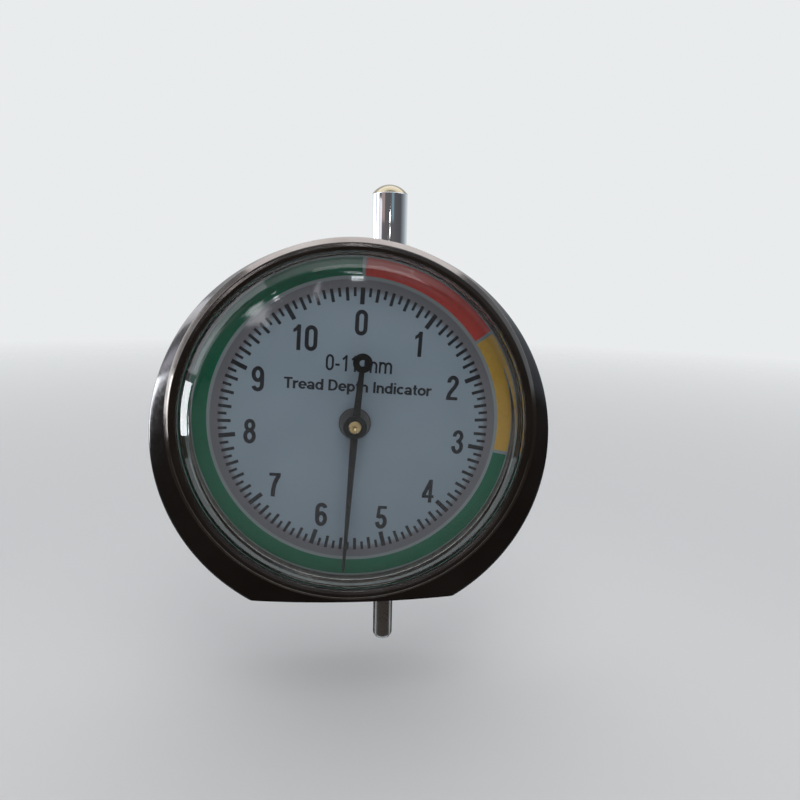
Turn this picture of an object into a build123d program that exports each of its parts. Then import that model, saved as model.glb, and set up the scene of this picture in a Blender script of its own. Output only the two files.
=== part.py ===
"""Dial tread depth gauge: a round case on a flat foot, a sliding probe and a rack-driven pointer.

The frame's origin is the middle of the foot face, below the dial axis. +Z runs up along the
plunger, the dial faces -Y and +X is to the reader's right. Sizes are millimetres.
"""

import math
import os

from build123d import *

os.makedirs("parts", exist_ok=True)

# --- Travel -------------------------------------------------------------------------------
TRAVEL = 11.0  # full depth range, which is one turn of the pointer
REST_DEPTH = 5.5  # depth shown in the modelled pose
STOP_GAP = 0.05  # left round the pin in the guide slot

# --- Case ---------------------------------------------------------------------------------
DIAL_Z = 21.0  # dial axis above the foot
CASE_R = 21.4  # outer circle of the case
CASE_DROP = 3.0  # how far that circle's centre lies below the dial axis
FRONT_R = 18.25  # circle where the sloping shoulder meets the bezel
FRONT_Y = -3.0
SHOULDER_Y = -1.4  # where the slope ends and the straight wall starts
REAR_Y = 4.6
REAR_FILLET = 0.7
NECK_R = 16.6  # short collar that the bezel turns on
NECK_Y = -4.0
CAVITY_R = 12.8
RECESS_R = 15.0  # seat of the movement plate
LEDGE_Y = -2.6
COVER_T = 1.1
COVER_R = 20.8
COVER_FOOT_GAP = 0.5
COVER_FILLET = 0.4
COVER_SCREW_PCD_R = 15.6
COVER_SCREW_TURN = 45  # degrees to the first of four screws
COVER_SCREW_R = 0.8
COVER_HEAD_R = 1.55
COVER_THREAD_L = 2.0
COVER_SLOT = (0.35, 0.35)  # width and depth

# --- Dial, bezel and crystal, as heights in front of the dial's face ------------------------
DIAL_Y = -4.5
DIAL_T = 0.38
DIAL_R = 17.33
DIAL_HOLE_R = 1.63
BEZEL_R = 18.0
BEZEL_POCKET_R = 17.4
BEZEL_LIP_R = 16.75
BEZEL_BORE_R = 16.65
BEZEL_CHAMFER = 0.12
BEZEL_CROWN_R = 0.5
BEZEL_LIP_EASE = 0.1
BEZEL_BACK_H = -1.35
BEZEL_SEAT_H = -0.4
BEZEL_LIP_H = 2.65
BEZEL_TOP_H = 3.2
RING_R = 16.62  # spring ring in the groove between collar and bezel
RING_H = -0.9
RING_WIRE_R = 0.25
GROOVE_R = 0.29
SPACER_R = 16.4
CRYSTAL_RIM_R = 17.35
CRYSTAL_RIM_H = 2.06
CRYSTAL_WALL_R = 16.7
CRYSTAL_WALL_H = 2.9  # top of the upright wall
CRYSTAL_BEVEL = ((15.75, 3.9), (16.6, 3.02))  # radius and height of the bevel's two edges
CRYSTAL_BEND = (15.25, 4.12)  # middle of the curve from the dome into the bevel
CRYSTAL_TOP_H = 4.62
CRYSTAL_DOME = (14.6, 0.36)  # radius of the domed top and its drop
CRYSTAL_INNER_H = 3.6
CRYSTAL_INNER_DOME = (15.0, 0.4)
CRYSTAL_INNER_WALL = ((16.3, CRYSTAL_RIM_H), (16.2, 2.45))
CRYSTAL_INNER_SHOULDER = (15.82, 2.98)
SEAT_GAP = 0.03  # between the crystal and the parts that clamp it

# --- Rack and pinion: an 11-tooth pinion, so one turn for the whole travel -------------------
TEETH = 11
PITCH = TRAVEL / TEETH
PITCH_R = TRAVEL / (2 * math.pi)
PRESSURE = math.radians(25)
ADDENDUM = 0.25
DEDENDUM = 0.33
TOOTH_W = 0.45  # tooth thickness on the pitch line, which leaves 0.1 mm of backlash
PINION_HALF_W = 1.0
ARBOR_R = 0.625
PIVOT_R = 0.35
ARBOR_SHOULDER_R = 0.95
ARBOR_SHOULDER_Y = (-2.1, 1.6)  # end play between the two bearing bushes
ARBOR_END_Y = 3.05
ARBOR_EASE = 0.08
DIMPLE = (0.24, 0.2)  # radius and depth

# --- Plunger --------------------------------------------------------------------------------
PLUNGER_X = 3.45
ROD_R = 1.9
ROD_LOW_Z = 11.9
ROD_TOP_Z = 29.5
RACK_FACE = 1.65  # pitch line from the rod's axis
RACK_GAPS = range(-7, 8)  # tooth spaces, in pitches from the dial axis
STEM_R = 1.2
SLEEVE_R = 1.87
SLEEVE_TOP_Z = 43.9
EDGE_CHAMFER = 0.1
DOME_R = 1.82
DOME_H = 0.96
PROBE_R = 1.1
PROBE_TIP_Z = -REST_DEPTH
TIP_EASE = 0.4
TANG_R = 0.7
TANG_L = 2.4
PIN_R = 0.45
PIN_START_Y = 0.2
PIN_L = 3.0
UPPER_BUSH = (35.3, 38.85)  # lowest and highest z
UPPER_BUSH_R = 2.3
LOWER_BUSH = (0.3, 6.3)
LOWER_BUSH_R = 1.7
RUNNING_GAP = 0.03
ROD_CLEAR_R = 2.1
HOLE_CLEAR_R = 2.0

# --- Movement -------------------------------------------------------------------------------
PLATE_T = 0.7
PLATE_R = 14.95
PLATE_SCREW_PCD_R = 13.9
PLATE_SCREW_TURNS = (15, 135, 255)
PLATE_SCREW_R = 0.5
PLATE_HEAD_R = 0.95
PLATE_HEAD_H = 0.45
PLATE_THREAD_L = 1.5
BUSH_SEAT_R = 1.2
BUSH_FLANGE_R = 1.6
BUSH_FRONT_H = 0.12
BEARING_GAP = 0.025
FRONT_BUSH_REAR_Y = -2.25
REAR_BUSH_Y = (1.75, 3.15)
REAR_BUSH_R = 0.9
REAR_FLANGE_R = 1.3
BRIDGE_Y = 2.2  # front face of the rear bridge and of the guide plate
BRIDGE_T = 0.8
BRIDGE_END_R = 1.8
BRIDGE_BOSS_R = 1.9
GUIDE_PLATE_X = 5.85
GUIDE_PLATE_SIZE = (7.1, 15.2)
GUIDE_PLATE_CORNER = 1.2
PILLAR_R = 1.2
SPIGOT_R = 0.7
BRIDGE_PILLARS = [(-7.5, 4.5), (-7.5, -4.5)]  # from the dial axis, x and z
GUIDE_PILLARS = [(8.0, 5.5), (8.0, -5.5)]
SMALL_SCREW_R = 0.44
SMALL_HEAD_R = 0.85
SMALL_HEAD_H = 0.55
SMALL_SCREW_TIP_Y = 0.9
PILLAR_BORE_Y = (0.7, 0.5)  # depth of the drilled hole's wall and of its point
SCREW_SLOT = 0.25
SCREW_EASE = 0.1
SPRING_T = 0.22
SPRING_X = PLUNGER_X + ROD_R + 0.05
SPRING_HALF_Z = 1.6
SPRING_TOP_Y = 1.0
SPRING_PAD = (2.0, 12.0, 0.5)  # depth, length and corner radius of the part that rubs
SPRING_FOOT_L = 3.4
SPRING_SCREW = (7.4, 0.0)

# --- Pointer --------------------------------------------------------------------------------
POINTER_DEG = 184.2  # clockwise from straight up, seen from the front
POINTER_H = 1.5
POINTER_T = 0.18
POINTER_L = 15.3
POINTER_POINT_L = 0.6
POINTER_ROOT_W = 0.7
POINTER_TIP_W = 0.26
TAIL_L = 6.35
TAIL_W = 0.5
TAIL_BEND = 2.2  # degrees that the tail stands off the needle's line
TAIL_RING_R = 0.95
TAIL_HOLE_R = 0.31
HUB_R = 1.15
HUB_BACK_R = 0.95
HUB_SLEEVE = 0.1  # wall of the hub's sleeve inside the pointer
HUB_H = (0.7, 1.86)
ARBOR_TOP_H = 1.92

DIAL_AXIS = Axis((0, DIAL_Y, DIAL_Z), (0, -1, 0))
BASE = (Align.CENTER, Align.CENTER, Align.MIN)
HANGING = (Align.CENTER, Align.CENTER, Align.MAX)


def facing_front(y, x=0.0, z=0.0):
    """Plane across the dial axis at depth y, seen from the front; x and z are off the axis."""
    return Plane(origin=(x, y, DIAL_Z + z), x_dir=(1, 0, 0), z_dir=(0, -1, 0))


def facing_back(y):
    """The same plane seen from behind."""
    return Plane(origin=(0, y, DIAL_Z), x_dir=(-1, 0, 0), z_dir=(0, 1, 0))


def section(x=0.0, z=0.0):
    """Half-section of a part turned about a line parallel to the dial axis: (radius, height)."""
    return Plane(origin=(x, DIAL_Y, DIAL_Z + z), x_dir=(1, 0, 0), z_dir=(0, 0, -1))


def height(y):
    """Height in front of the dial's face of a depth y."""
    return DIAL_Y - y


def turning_axis(x, z):
    """Axis of a part turned about a line parallel to the dial axis."""
    return Axis((x, DIAL_Y, DIAL_Z + z), (0, -1, 0))


def cap_arc(edge_r, top, drop):
    """Three points of a spherical cap's outline: its top, half way out and its edge."""
    sphere_r = (edge_r**2 + drop**2) / (2 * drop)
    sag = sphere_r - math.sqrt(sphere_r**2 - (edge_r / 2) ** 2)
    return (0, top), (edge_r / 2, top - sag), (edge_r, top - drop)


def save(part, name):
    """Labels one finished piece and writes it."""
    part.label = name
    export_step(part, f"parts/{name}.step")


def slotted_screw(x, z, y_head, y_tip, shank_r, head_r, head_h, towards_front):
    """A cheese-head screw parallel to the dial axis, with its slot, as one solid."""
    out = 1 if towards_front else -1
    seat, tip = height(y_head), height(y_tip)
    top = seat + out * head_h
    with BuildPart() as screw:
        with BuildSketch(section(x, z)):
            with BuildLine():
                Polyline((0, tip), (shank_r, tip), (shank_r, seat), (head_r, seat),
                         (head_r, top - out * SCREW_EASE), (head_r - SCREW_EASE, top), (0, top),
                         close=True)
            make_face()
        revolve(axis=turning_axis(x, z))
        with Locations((x, DIAL_Y - top, DIAL_Z + z)):
            Box(2.2 * head_r, 2 * SCREW_SLOT, SCREW_SLOT, mode=Mode.SUBTRACT)
    return screw.part


# --- Case and cover -------------------------------------------------------------------------
with BuildPart() as case_body:
    with BuildSketch(facing_front(REAR_Y)):
        with Locations((0, -CASE_DROP)):
            Circle(CASE_R)
    extrude(amount=REAR_Y - SHOULDER_Y)
    with BuildSketch(facing_front(SHOULDER_Y)):
        with Locations((0, -CASE_DROP)):
            Circle(CASE_R)
    with BuildSketch(facing_front(FRONT_Y)):
        Circle(FRONT_R)
    loft()
    fillet(case_body.edges().filter_by(GeomType.CIRCLE).group_by(Axis.Y)[-1], radius=REAR_FILLET)
    split(bisect_by=Plane.XY, keep=Keep.TOP)
    with BuildSketch(facing_front(FRONT_Y)):
        Circle(NECK_R)
    extrude(amount=FRONT_Y - NECK_Y)
    with BuildSketch(facing_front(LEDGE_Y)):
        Circle(RECESS_R)
    extrude(amount=LEDGE_Y - NECK_Y, mode=Mode.SUBTRACT)
    with BuildSketch(facing_front(REAR_Y)):
        Circle(CAVITY_R)
    extrude(amount=REAR_Y - LEDGE_Y, mode=Mode.SUBTRACT)
    with BuildSketch(section()):
        with Locations((RING_R, RING_H)):
            Circle(GROOVE_R)
    revolve(axis=DIAL_AXIS, mode=Mode.SUBTRACT)
    for low, high, radius in (
        (0, LOWER_BUSH[1], LOWER_BUSH_R),
        (LOWER_BUSH[1], DIAL_Z, ROD_CLEAR_R),
        (DIAL_Z, UPPER_BUSH[0], ROD_CLEAR_R),
        (UPPER_BUSH[0], UPPER_BUSH[1], UPPER_BUSH_R),
        (UPPER_BUSH[1], DIAL_Z + CASE_R, HOLE_CLEAR_R),
    ):
        with Locations((PLUNGER_X, 0, low)):
            Cylinder(radius, high - low, align=BASE, mode=Mode.SUBTRACT)
    with Locations(facing_front(LEDGE_Y)):
        with PolarLocations(PLATE_SCREW_PCD_R, 3, start_angle=PLATE_SCREW_TURNS[0]):
            Hole(PLATE_SCREW_R, depth=PLATE_THREAD_L + 0.1)
    with Locations(facing_back(REAR_Y)):
        with PolarLocations(COVER_SCREW_PCD_R, 4, start_angle=COVER_SCREW_TURN):
            Hole(COVER_SCREW_R, depth=COVER_THREAD_L + 0.2)
save(case_body.part, "case_body")

with BuildPart() as back_cover:
    with BuildSketch(facing_back(REAR_Y)):
        with Locations((0, -CASE_DROP)):
            Circle(COVER_R)
        with Locations((0, -DIAL_Z + COVER_FOOT_GAP)):
            Rectangle(2 * CASE_R, CASE_R, align=(Align.CENTER, Align.MAX), mode=Mode.SUBTRACT)
    extrude(amount=COVER_T)
    fillet(back_cover.faces().sort_by(Axis.Y)[-1].edges(), radius=COVER_FILLET)
    with Locations(facing_back(REAR_Y + COVER_T)):
        with PolarLocations(COVER_SCREW_PCD_R, 4, start_angle=COVER_SCREW_TURN):
            CounterSinkHole(COVER_SCREW_R, COVER_HEAD_R, counter_sink_angle=90)
save(back_cover.part, "back_cover")

with BuildPart() as back_cover_screws:
    with Locations(facing_back(REAR_Y + COVER_T)):
        with PolarLocations(COVER_SCREW_PCD_R, 4, start_angle=COVER_SCREW_TURN):
            Cylinder(COVER_SCREW_R, COVER_T + COVER_THREAD_L, align=HANGING)
            Cone(COVER_SCREW_R, COVER_HEAD_R, COVER_HEAD_R - COVER_SCREW_R, align=HANGING)
            Box(2.2 * COVER_HEAD_R, COVER_SLOT[0], 2 * COVER_SLOT[1], mode=Mode.SUBTRACT)
save(back_cover_screws.part, "back_cover_screws")

# --- Guides of the plunger --------------------------------------------------------------------
with BuildPart() as upper_guide_bush:
    with BuildSketch(Plane.XY.offset(UPPER_BUSH[0])):
        with Locations((PLUNGER_X, 0)):
            Circle(UPPER_BUSH_R)
            Circle(SLEEVE_R + RUNNING_GAP, mode=Mode.SUBTRACT)
    extrude(amount=UPPER_BUSH[1] - UPPER_BUSH[0])
    chamfer(upper_guide_bush.faces().sort_by(Axis.Z)[-1].edges(), length=EDGE_CHAMFER)
save(upper_guide_bush.part, "upper_guide_bush")

with BuildPart() as lower_guide_bush:
    with BuildSketch(Plane.XY.offset(LOWER_BUSH[0])):
        with Locations((PLUNGER_X, 0)):
            Circle(LOWER_BUSH_R)
            Circle(PROBE_R + RUNNING_GAP, mode=Mode.SUBTRACT)
    extrude(amount=LOWER_BUSH[1] - LOWER_BUSH[0])
    chamfer(lower_guide_bush.faces().sort_by(Axis.Z)[0].edges(), length=EDGE_CHAMFER)
save(lower_guide_bush.part, "lower_guide_bush")

# --- Movement: front plate, bridge, guide plate and bearings ------------------------------------
plate_front_y = LEDGE_Y - PLATE_T
with BuildPart() as movement_plate:
    with BuildSketch(facing_front(LEDGE_Y)):
        Circle(PLATE_R)
        Circle(BUSH_SEAT_R, mode=Mode.SUBTRACT)
        with Locations(*BRIDGE_PILLARS, *GUIDE_PILLARS):
            Circle(SPIGOT_R, mode=Mode.SUBTRACT)
        with PolarLocations(PLATE_SCREW_PCD_R, 3, start_angle=PLATE_SCREW_TURNS[0]):
            Circle(PLATE_SCREW_R, mode=Mode.SUBTRACT)
        with Locations(SPRING_SCREW):
            Circle(SMALL_SCREW_R, mode=Mode.SUBTRACT)
    extrude(amount=PLATE_T)
save(movement_plate.part, "movement_plate")

plate_screws = []
for turn in PLATE_SCREW_TURNS:
    spot = Vector(PLATE_SCREW_PCD_R, 0).rotate(Axis.Z, turn)
    plate_screws.append(
        slotted_screw(spot.X, spot.Y, plate_front_y, LEDGE_Y + PLATE_THREAD_L, PLATE_SCREW_R,
                      PLATE_HEAD_R, PLATE_HEAD_H, True)
    )
save(Compound(children=plate_screws), "movement_plate_screws")

with BuildPart() as front_bearing_bush:
    with BuildSketch(section()):
        with BuildLine():
            bore = ARBOR_R + BEARING_GAP
            rear, seat = height(FRONT_BUSH_REAR_Y), height(plate_front_y)
            Polyline((bore, rear), (BUSH_SEAT_R, rear), (BUSH_SEAT_R, seat),
                     (BUSH_FLANGE_R, seat), (BUSH_FLANGE_R, BUSH_FRONT_H - 0.1),
                     (BUSH_FLANGE_R - 0.1, BUSH_FRONT_H), (bore, BUSH_FRONT_H), close=True)
        make_face()
    revolve(axis=DIAL_AXIS)
save(front_bearing_bush.part, "front_bearing_bush")

with BuildPart() as rear_bridge:
    with BuildSketch(facing_back(BRIDGE_Y)):
        with Locations(*[(-x, z) for x, z in BRIDGE_PILLARS]):
            Circle(BRIDGE_END_R)
        Circle(BRIDGE_BOSS_R)
        make_hull()
        Circle(REAR_BUSH_R, mode=Mode.SUBTRACT)
        with Locations(*[(-x, z) for x, z in BRIDGE_PILLARS]):
            Circle(SMALL_SCREW_R, mode=Mode.SUBTRACT)
    extrude(amount=BRIDGE_T)
save(rear_bridge.part, "rear_bridge")

with BuildPart() as rear_bearing_bush:
    with BuildSketch(section()):
        with BuildLine():
            bore = PIVOT_R + BEARING_GAP
            front, rear = (height(y) for y in REAR_BUSH_Y)
            Polyline((bore, front), (REAR_FLANGE_R, front), (REAR_FLANGE_R, height(BRIDGE_Y)),
                     (REAR_BUSH_R, height(BRIDGE_Y)), (REAR_BUSH_R, rear), (bore, rear),
                     close=True)
        make_face()
    revolve(axis=DIAL_AXIS)
save(rear_bearing_bush.part, "rear_bearing_bush")

with BuildPart() as guide_plate:
    with BuildSketch(facing_back(BRIDGE_Y)):
        with Locations((-GUIDE_PLATE_X, 0)):
            RectangleRounded(*GUIDE_PLATE_SIZE, GUIDE_PLATE_CORNER)
        with Locations((-PLUNGER_X, 0)):
            SlotOverall(TRAVEL + 2 * (PIN_R + STOP_GAP), 2 * (PIN_R + STOP_GAP), rotation=90,
                        mode=Mode.SUBTRACT)
        with Locations(*[(-x, z) for x, z in GUIDE_PILLARS]):
            Circle(SMALL_SCREW_R, mode=Mode.SUBTRACT)
    extrude(amount=BRIDGE_T)
save(guide_plate.part, "guide_plate")


def pillar_pair(places):
    """Two turned pillars riveted in the movement plate, each drilled for its screw."""
    with BuildPart() as pillars:
        for x, z in places:
            with BuildSketch(section(x, z)):
                with BuildLine():
                    Polyline((0, height(plate_front_y)), (SPIGOT_R, height(plate_front_y)),
                             (SPIGOT_R, height(LEDGE_Y)), (PILLAR_R, height(LEDGE_Y)),
                             (PILLAR_R, height(BRIDGE_Y)), (SMALL_SCREW_R, height(BRIDGE_Y)),
                             (SMALL_SCREW_R, height(PILLAR_BORE_Y[0])),
                             (0, height(PILLAR_BORE_Y[1])), close=True)
                make_face()
            revolve(axis=turning_axis(x, z))
    return pillars.part


save(pillar_pair(BRIDGE_PILLARS), "bridge_pillars")
save(pillar_pair(GUIDE_PILLARS), "guide_pillars")


def screw_pair(places):
    """Two screws that hold a rear plate on its pillars."""
    return Compound(children=[
        slotted_screw(x, z, BRIDGE_Y + BRIDGE_T, SMALL_SCREW_TIP_Y, SMALL_SCREW_R,
                      SMALL_HEAD_R, SMALL_HEAD_H, False)
        for x, z in places
    ])


save(screw_pair(BRIDGE_PILLARS), "bridge_screws")
save(screw_pair(GUIDE_PILLARS), "guide_screws")

with BuildPart() as friction_spring:
    foot_top_y = LEDGE_Y + SPRING_T
    with BuildSketch(Plane.YZ.offset(SPRING_X)):
        with Locations(((LEDGE_Y + SPRING_TOP_Y) / 2, DIAL_Z)):
            Rectangle(SPRING_TOP_Y - LEDGE_Y, 2 * SPRING_HALF_Z)
        with Locations((0, DIAL_Z)):
            RectangleRounded(*SPRING_PAD)
    extrude(amount=SPRING_T)
    with BuildSketch(facing_front(foot_top_y)):
        with Locations((SPRING_X, 0)):
            Rectangle(SPRING_FOOT_L, 2 * SPRING_HALF_Z, align=(Align.MIN, Align.CENTER))
        with Locations(SPRING_SCREW):
            Circle(SMALL_SCREW_R, mode=Mode.SUBTRACT)
    extrude(amount=SPRING_T)
save(friction_spring.part, "friction_spring")

save(slotted_screw(*SPRING_SCREW, LEDGE_Y + SPRING_T, plate_front_y + 0.1, SMALL_SCREW_R,
                   SMALL_HEAD_R, SMALL_HEAD_H, False), "friction_spring_screw")

with BuildPart() as bezel_spring_ring:
    with BuildSketch(section()):
        with Locations((RING_R, RING_H)):
            Circle(RING_WIRE_R)
    revolve(axis=DIAL_AXIS, revolution_arc=345)
save(bezel_spring_ring.part, "bezel_spring_ring")

# --- Bezel assembly: turned by hand to set zero ---------------------------------------------------
with BuildPart() as bezel:
    with BuildSketch(section()):
        with BuildLine():
            Polyline((BEZEL_POCKET_R, BEZEL_LIP_H), (BEZEL_POCKET_R, BEZEL_SEAT_H),
                     (BEZEL_BORE_R, BEZEL_SEAT_H), (BEZEL_BORE_R, BEZEL_BACK_H),
                     (BEZEL_R - BEZEL_CHAMFER, BEZEL_BACK_H),
                     (BEZEL_R, BEZEL_BACK_H + BEZEL_CHAMFER),
                     (BEZEL_R, BEZEL_TOP_H - BEZEL_CROWN_R))
            RadiusArc((BEZEL_R, BEZEL_TOP_H - BEZEL_CROWN_R),
                      (BEZEL_R - BEZEL_CROWN_R, BEZEL_TOP_H), -BEZEL_CROWN_R)
            Polyline((BEZEL_R - BEZEL_CROWN_R, BEZEL_TOP_H),
                     (BEZEL_LIP_R + BEZEL_LIP_EASE, BEZEL_TOP_H),
                     (BEZEL_LIP_R, BEZEL_TOP_H - BEZEL_LIP_EASE), (BEZEL_LIP_R, BEZEL_LIP_H),
                     (BEZEL_POCKET_R, BEZEL_LIP_H))
        make_face()
        with Locations((RING_R, RING_H)):
            Circle(GROOVE_R, mode=Mode.SUBTRACT)
    revolve(axis=DIAL_AXIS)
save(bezel.part, "bezel")

with BuildPart() as crystal:
    with BuildSketch(section()):
        with BuildLine():
            outer = cap_arc(CRYSTAL_DOME[0], CRYSTAL_TOP_H, CRYSTAL_DOME[1])
            inner = cap_arc(CRYSTAL_INNER_DOME[0], CRYSTAL_INNER_H, CRYSTAL_INNER_DOME[1])
            ThreePointArc(*outer)
            ThreePointArc(outer[-1], CRYSTAL_BEND, CRYSTAL_BEVEL[0])
            Polyline(*CRYSTAL_BEVEL, (CRYSTAL_WALL_R, CRYSTAL_WALL_H),
                     (CRYSTAL_WALL_R, BEZEL_LIP_H - SEAT_GAP),
                     (CRYSTAL_RIM_R, BEZEL_LIP_H - SEAT_GAP), (CRYSTAL_RIM_R, CRYSTAL_RIM_H),
                     *CRYSTAL_INNER_WALL)
            ThreePointArc(CRYSTAL_INNER_WALL[-1], CRYSTAL_INNER_SHOULDER, inner[-1])
            ThreePointArc(*inner)
            Line((0, CRYSTAL_INNER_H), (0, CRYSTAL_TOP_H))
        make_face()
    revolve(axis=DIAL_AXIS)
save(crystal.part, "crystal")

with BuildPart() as spacer_ring:
    with BuildSketch(facing_front(DIAL_Y)):
        Circle(DIAL_R)
        Circle(SPACER_R, mode=Mode.SUBTRACT)
    extrude(amount=CRYSTAL_RIM_H - 0.02)
save(spacer_ring.part, "spacer_ring")

with BuildPart() as dial_plate:
    with BuildSketch(facing_front(DIAL_Y + DIAL_T)):
        Circle(DIAL_R)
        Circle(DIAL_HOLE_R, mode=Mode.SUBTRACT)
    extrude(amount=DIAL_T)
save(dial_plate.part, "dial_plate")


# --- Pointer assembly --------------------------------------------------------------------------
def involute_angle(radius):
    """Angle by which an involute flank has turned from its start on the base circle."""
    roll = math.sqrt((radius / base_r) ** 2 - 1)
    return roll - math.atan(roll)


base_r = PITCH_R * math.cos(PRESSURE)
root_r = PITCH_R - DEDENDUM
tip_r = PITCH_R + ADDENDUM
half_at_base = TOOTH_W / PITCH_R / 2 + involute_angle(PITCH_R)
flank_radii = (base_r, (base_r + PITCH_R) / 2, PITCH_R, tip_r)


def polar(radius, angle):
    """Point of the pinion's outline."""
    return (radius * math.cos(angle), radius * math.sin(angle))


with BuildPart() as pinion_arbor:
    with BuildSketch(facing_front(PINION_HALF_W)):
        with BuildLine():
            for tooth in range(TEETH):
                mid = 2 * math.pi * tooth / TEETH
                rise = [polar(r, mid - half_at_base + involute_angle(r)) for r in flank_radii]
                fall = [polar(r, mid + half_at_base - involute_angle(r)) for r in flank_radii]
                next_root = mid + 2 * math.pi / TEETH - half_at_base
                Line(polar(root_r, mid - half_at_base), rise[0])
                Spline(*rise)
                Line(rise[-1], fall[-1])
                Spline(*reversed(fall))
                Line(fall[0], polar(root_r, mid + half_at_base))
                Line(polar(root_r, mid + half_at_base), polar(root_r, next_root))
        make_face()
    extrude(amount=2 * PINION_HALF_W)
    with BuildSketch(section()):
        with BuildLine():
            front, rear = (height(y) for y in ARBOR_SHOULDER_Y)
            Polyline((0, ARBOR_TOP_H - DIMPLE[1]), (DIMPLE[0], ARBOR_TOP_H),
                     (ARBOR_R - ARBOR_EASE, ARBOR_TOP_H), (ARBOR_R, ARBOR_TOP_H - ARBOR_EASE),
                     (ARBOR_R, front), (ARBOR_SHOULDER_R, front), (ARBOR_SHOULDER_R, rear),
                     (PIVOT_R, rear), (PIVOT_R, height(ARBOR_END_Y)),
                     (0, height(ARBOR_END_Y)), close=True)
        make_face()
    revolve(axis=DIAL_AXIS)
save(pinion_arbor.part, "pinion_arbor")

with BuildPart() as pointer_hub:
    with BuildSketch(section()):
        with BuildLine():
            Polyline((ARBOR_R, HUB_H[0]), (HUB_BACK_R, HUB_H[0]), (HUB_BACK_R, POINTER_H),
                     (ARBOR_R + HUB_SLEEVE, POINTER_H),
                     (ARBOR_R + HUB_SLEEVE, POINTER_H + POINTER_T),
                     (HUB_R, POINTER_H + POINTER_T), (HUB_R, HUB_H[1] - ARBOR_EASE),
                     (HUB_R - ARBOR_EASE, HUB_H[1]), (ARBOR_R, HUB_H[1]), close=True)
        make_face()
    revolve(axis=DIAL_AXIS)
save(pointer_hub.part, "pointer_hub")

pointer_turn = math.radians(POINTER_DEG)
pointer_plane = Plane(
    origin=(0, DIAL_Y - POINTER_H, DIAL_Z),
    x_dir=(math.cos(pointer_turn), 0, -math.sin(pointer_turn)),
    z_dir=(0, -1, 0),
)
tail_x = -TAIL_L * math.sin(math.radians(TAIL_BEND))
tail_y = -TAIL_L * math.cos(math.radians(TAIL_BEND))
with BuildPart() as pointer:
    with BuildSketch(pointer_plane):
        with BuildLine():
            root, tip, tail = POINTER_ROOT_W / 2, POINTER_TIP_W / 2, TAIL_W / 2
            shoulder = POINTER_L - POINTER_POINT_L
            Polyline((-root, 0), (-tip, shoulder), (0, POINTER_L), (tip, shoulder), (root, 0),
                     (tail_x + tail, tail_y), (tail_x - tail, tail_y), close=True)
        make_face()
        Circle(HUB_R - SCREW_EASE)
        with Locations((tail_x, tail_y)):
            Circle(TAIL_RING_R)
            Circle(TAIL_HOLE_R, mode=Mode.SUBTRACT)
        Circle(ARBOR_R + HUB_SLEEVE, mode=Mode.SUBTRACT)
    extrude(amount=POINTER_T)
save(pointer.part, "pointer")

# --- Plunger assembly --------------------------------------------------------------------------
rack_half_w = ROD_R + 0.6
with BuildPart() as rack_rod:
    with BuildSketch(Plane.XZ):
        with BuildLine():
            axis_top, dome_mid, dome_edge = [
                (PLUNGER_X + r, z) for r, z in cap_arc(DOME_R, SLEEVE_TOP_Z + DOME_H, DOME_H)
            ]
            ThreePointArc(axis_top, dome_mid, dome_edge)
            Polyline(dome_edge, (PLUNGER_X + STEM_R, SLEEVE_TOP_Z), (PLUNGER_X + STEM_R, ROD_TOP_Z),
                     (PLUNGER_X + ROD_R, ROD_TOP_Z), (PLUNGER_X + ROD_R, ROD_LOW_Z),
                     (PLUNGER_X + TANG_R, ROD_LOW_Z), (PLUNGER_X + TANG_R, ROD_LOW_Z + TANG_L),
                     (PLUNGER_X, ROD_LOW_Z + TANG_L), axis_top)
        make_face()
    revolve(axis=Axis((PLUNGER_X, 0, 0), (0, 0, 1)))
    with BuildSketch(Plane.XZ.offset(-rack_half_w)):
        slope = math.tan(PRESSURE)
        gap_w = PITCH - TOOTH_W
        depth_in, depth_out = DEDENDUM, ADDENDUM + 0.05
        for step in RACK_GAPS:
            z_gap = DIAL_Z + step * PITCH
            x_in = PLUNGER_X - RACK_FACE + depth_in
            x_out = PLUNGER_X - RACK_FACE - depth_out
            w_in = gap_w / 2 - depth_in * slope
            w_out = gap_w / 2 + depth_out * slope
            with BuildLine():
                Polyline((x_out, z_gap - w_out), (x_in, z_gap - w_in), (x_in, z_gap + w_in),
                         (x_out, z_gap + w_out), close=True)
            make_face()
    extrude(amount=2 * rack_half_w, mode=Mode.SUBTRACT)
    with Locations(Plane(origin=(PLUNGER_X, rack_half_w, DIAL_Z), z_dir=(0, 1, 0))):
        Hole(PIN_R, depth=rack_half_w - PIN_START_Y)
save(rack_rod.part, "rack_rod")

with BuildPart() as plunger_sleeve:
    with BuildSketch(Plane.XY.offset(ROD_TOP_Z)):
        with Locations((PLUNGER_X, 0)):
            Circle(SLEEVE_R)
            Circle(STEM_R, mode=Mode.SUBTRACT)
    extrude(amount=SLEEVE_TOP_Z - ROD_TOP_Z)
    chamfer(plunger_sleeve.faces().sort_by(Axis.Z)[-1].edges().sort_by(SortBy.RADIUS)[-1],
            length=EDGE_CHAMFER)
save(plunger_sleeve.part, "plunger_sleeve")

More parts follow.
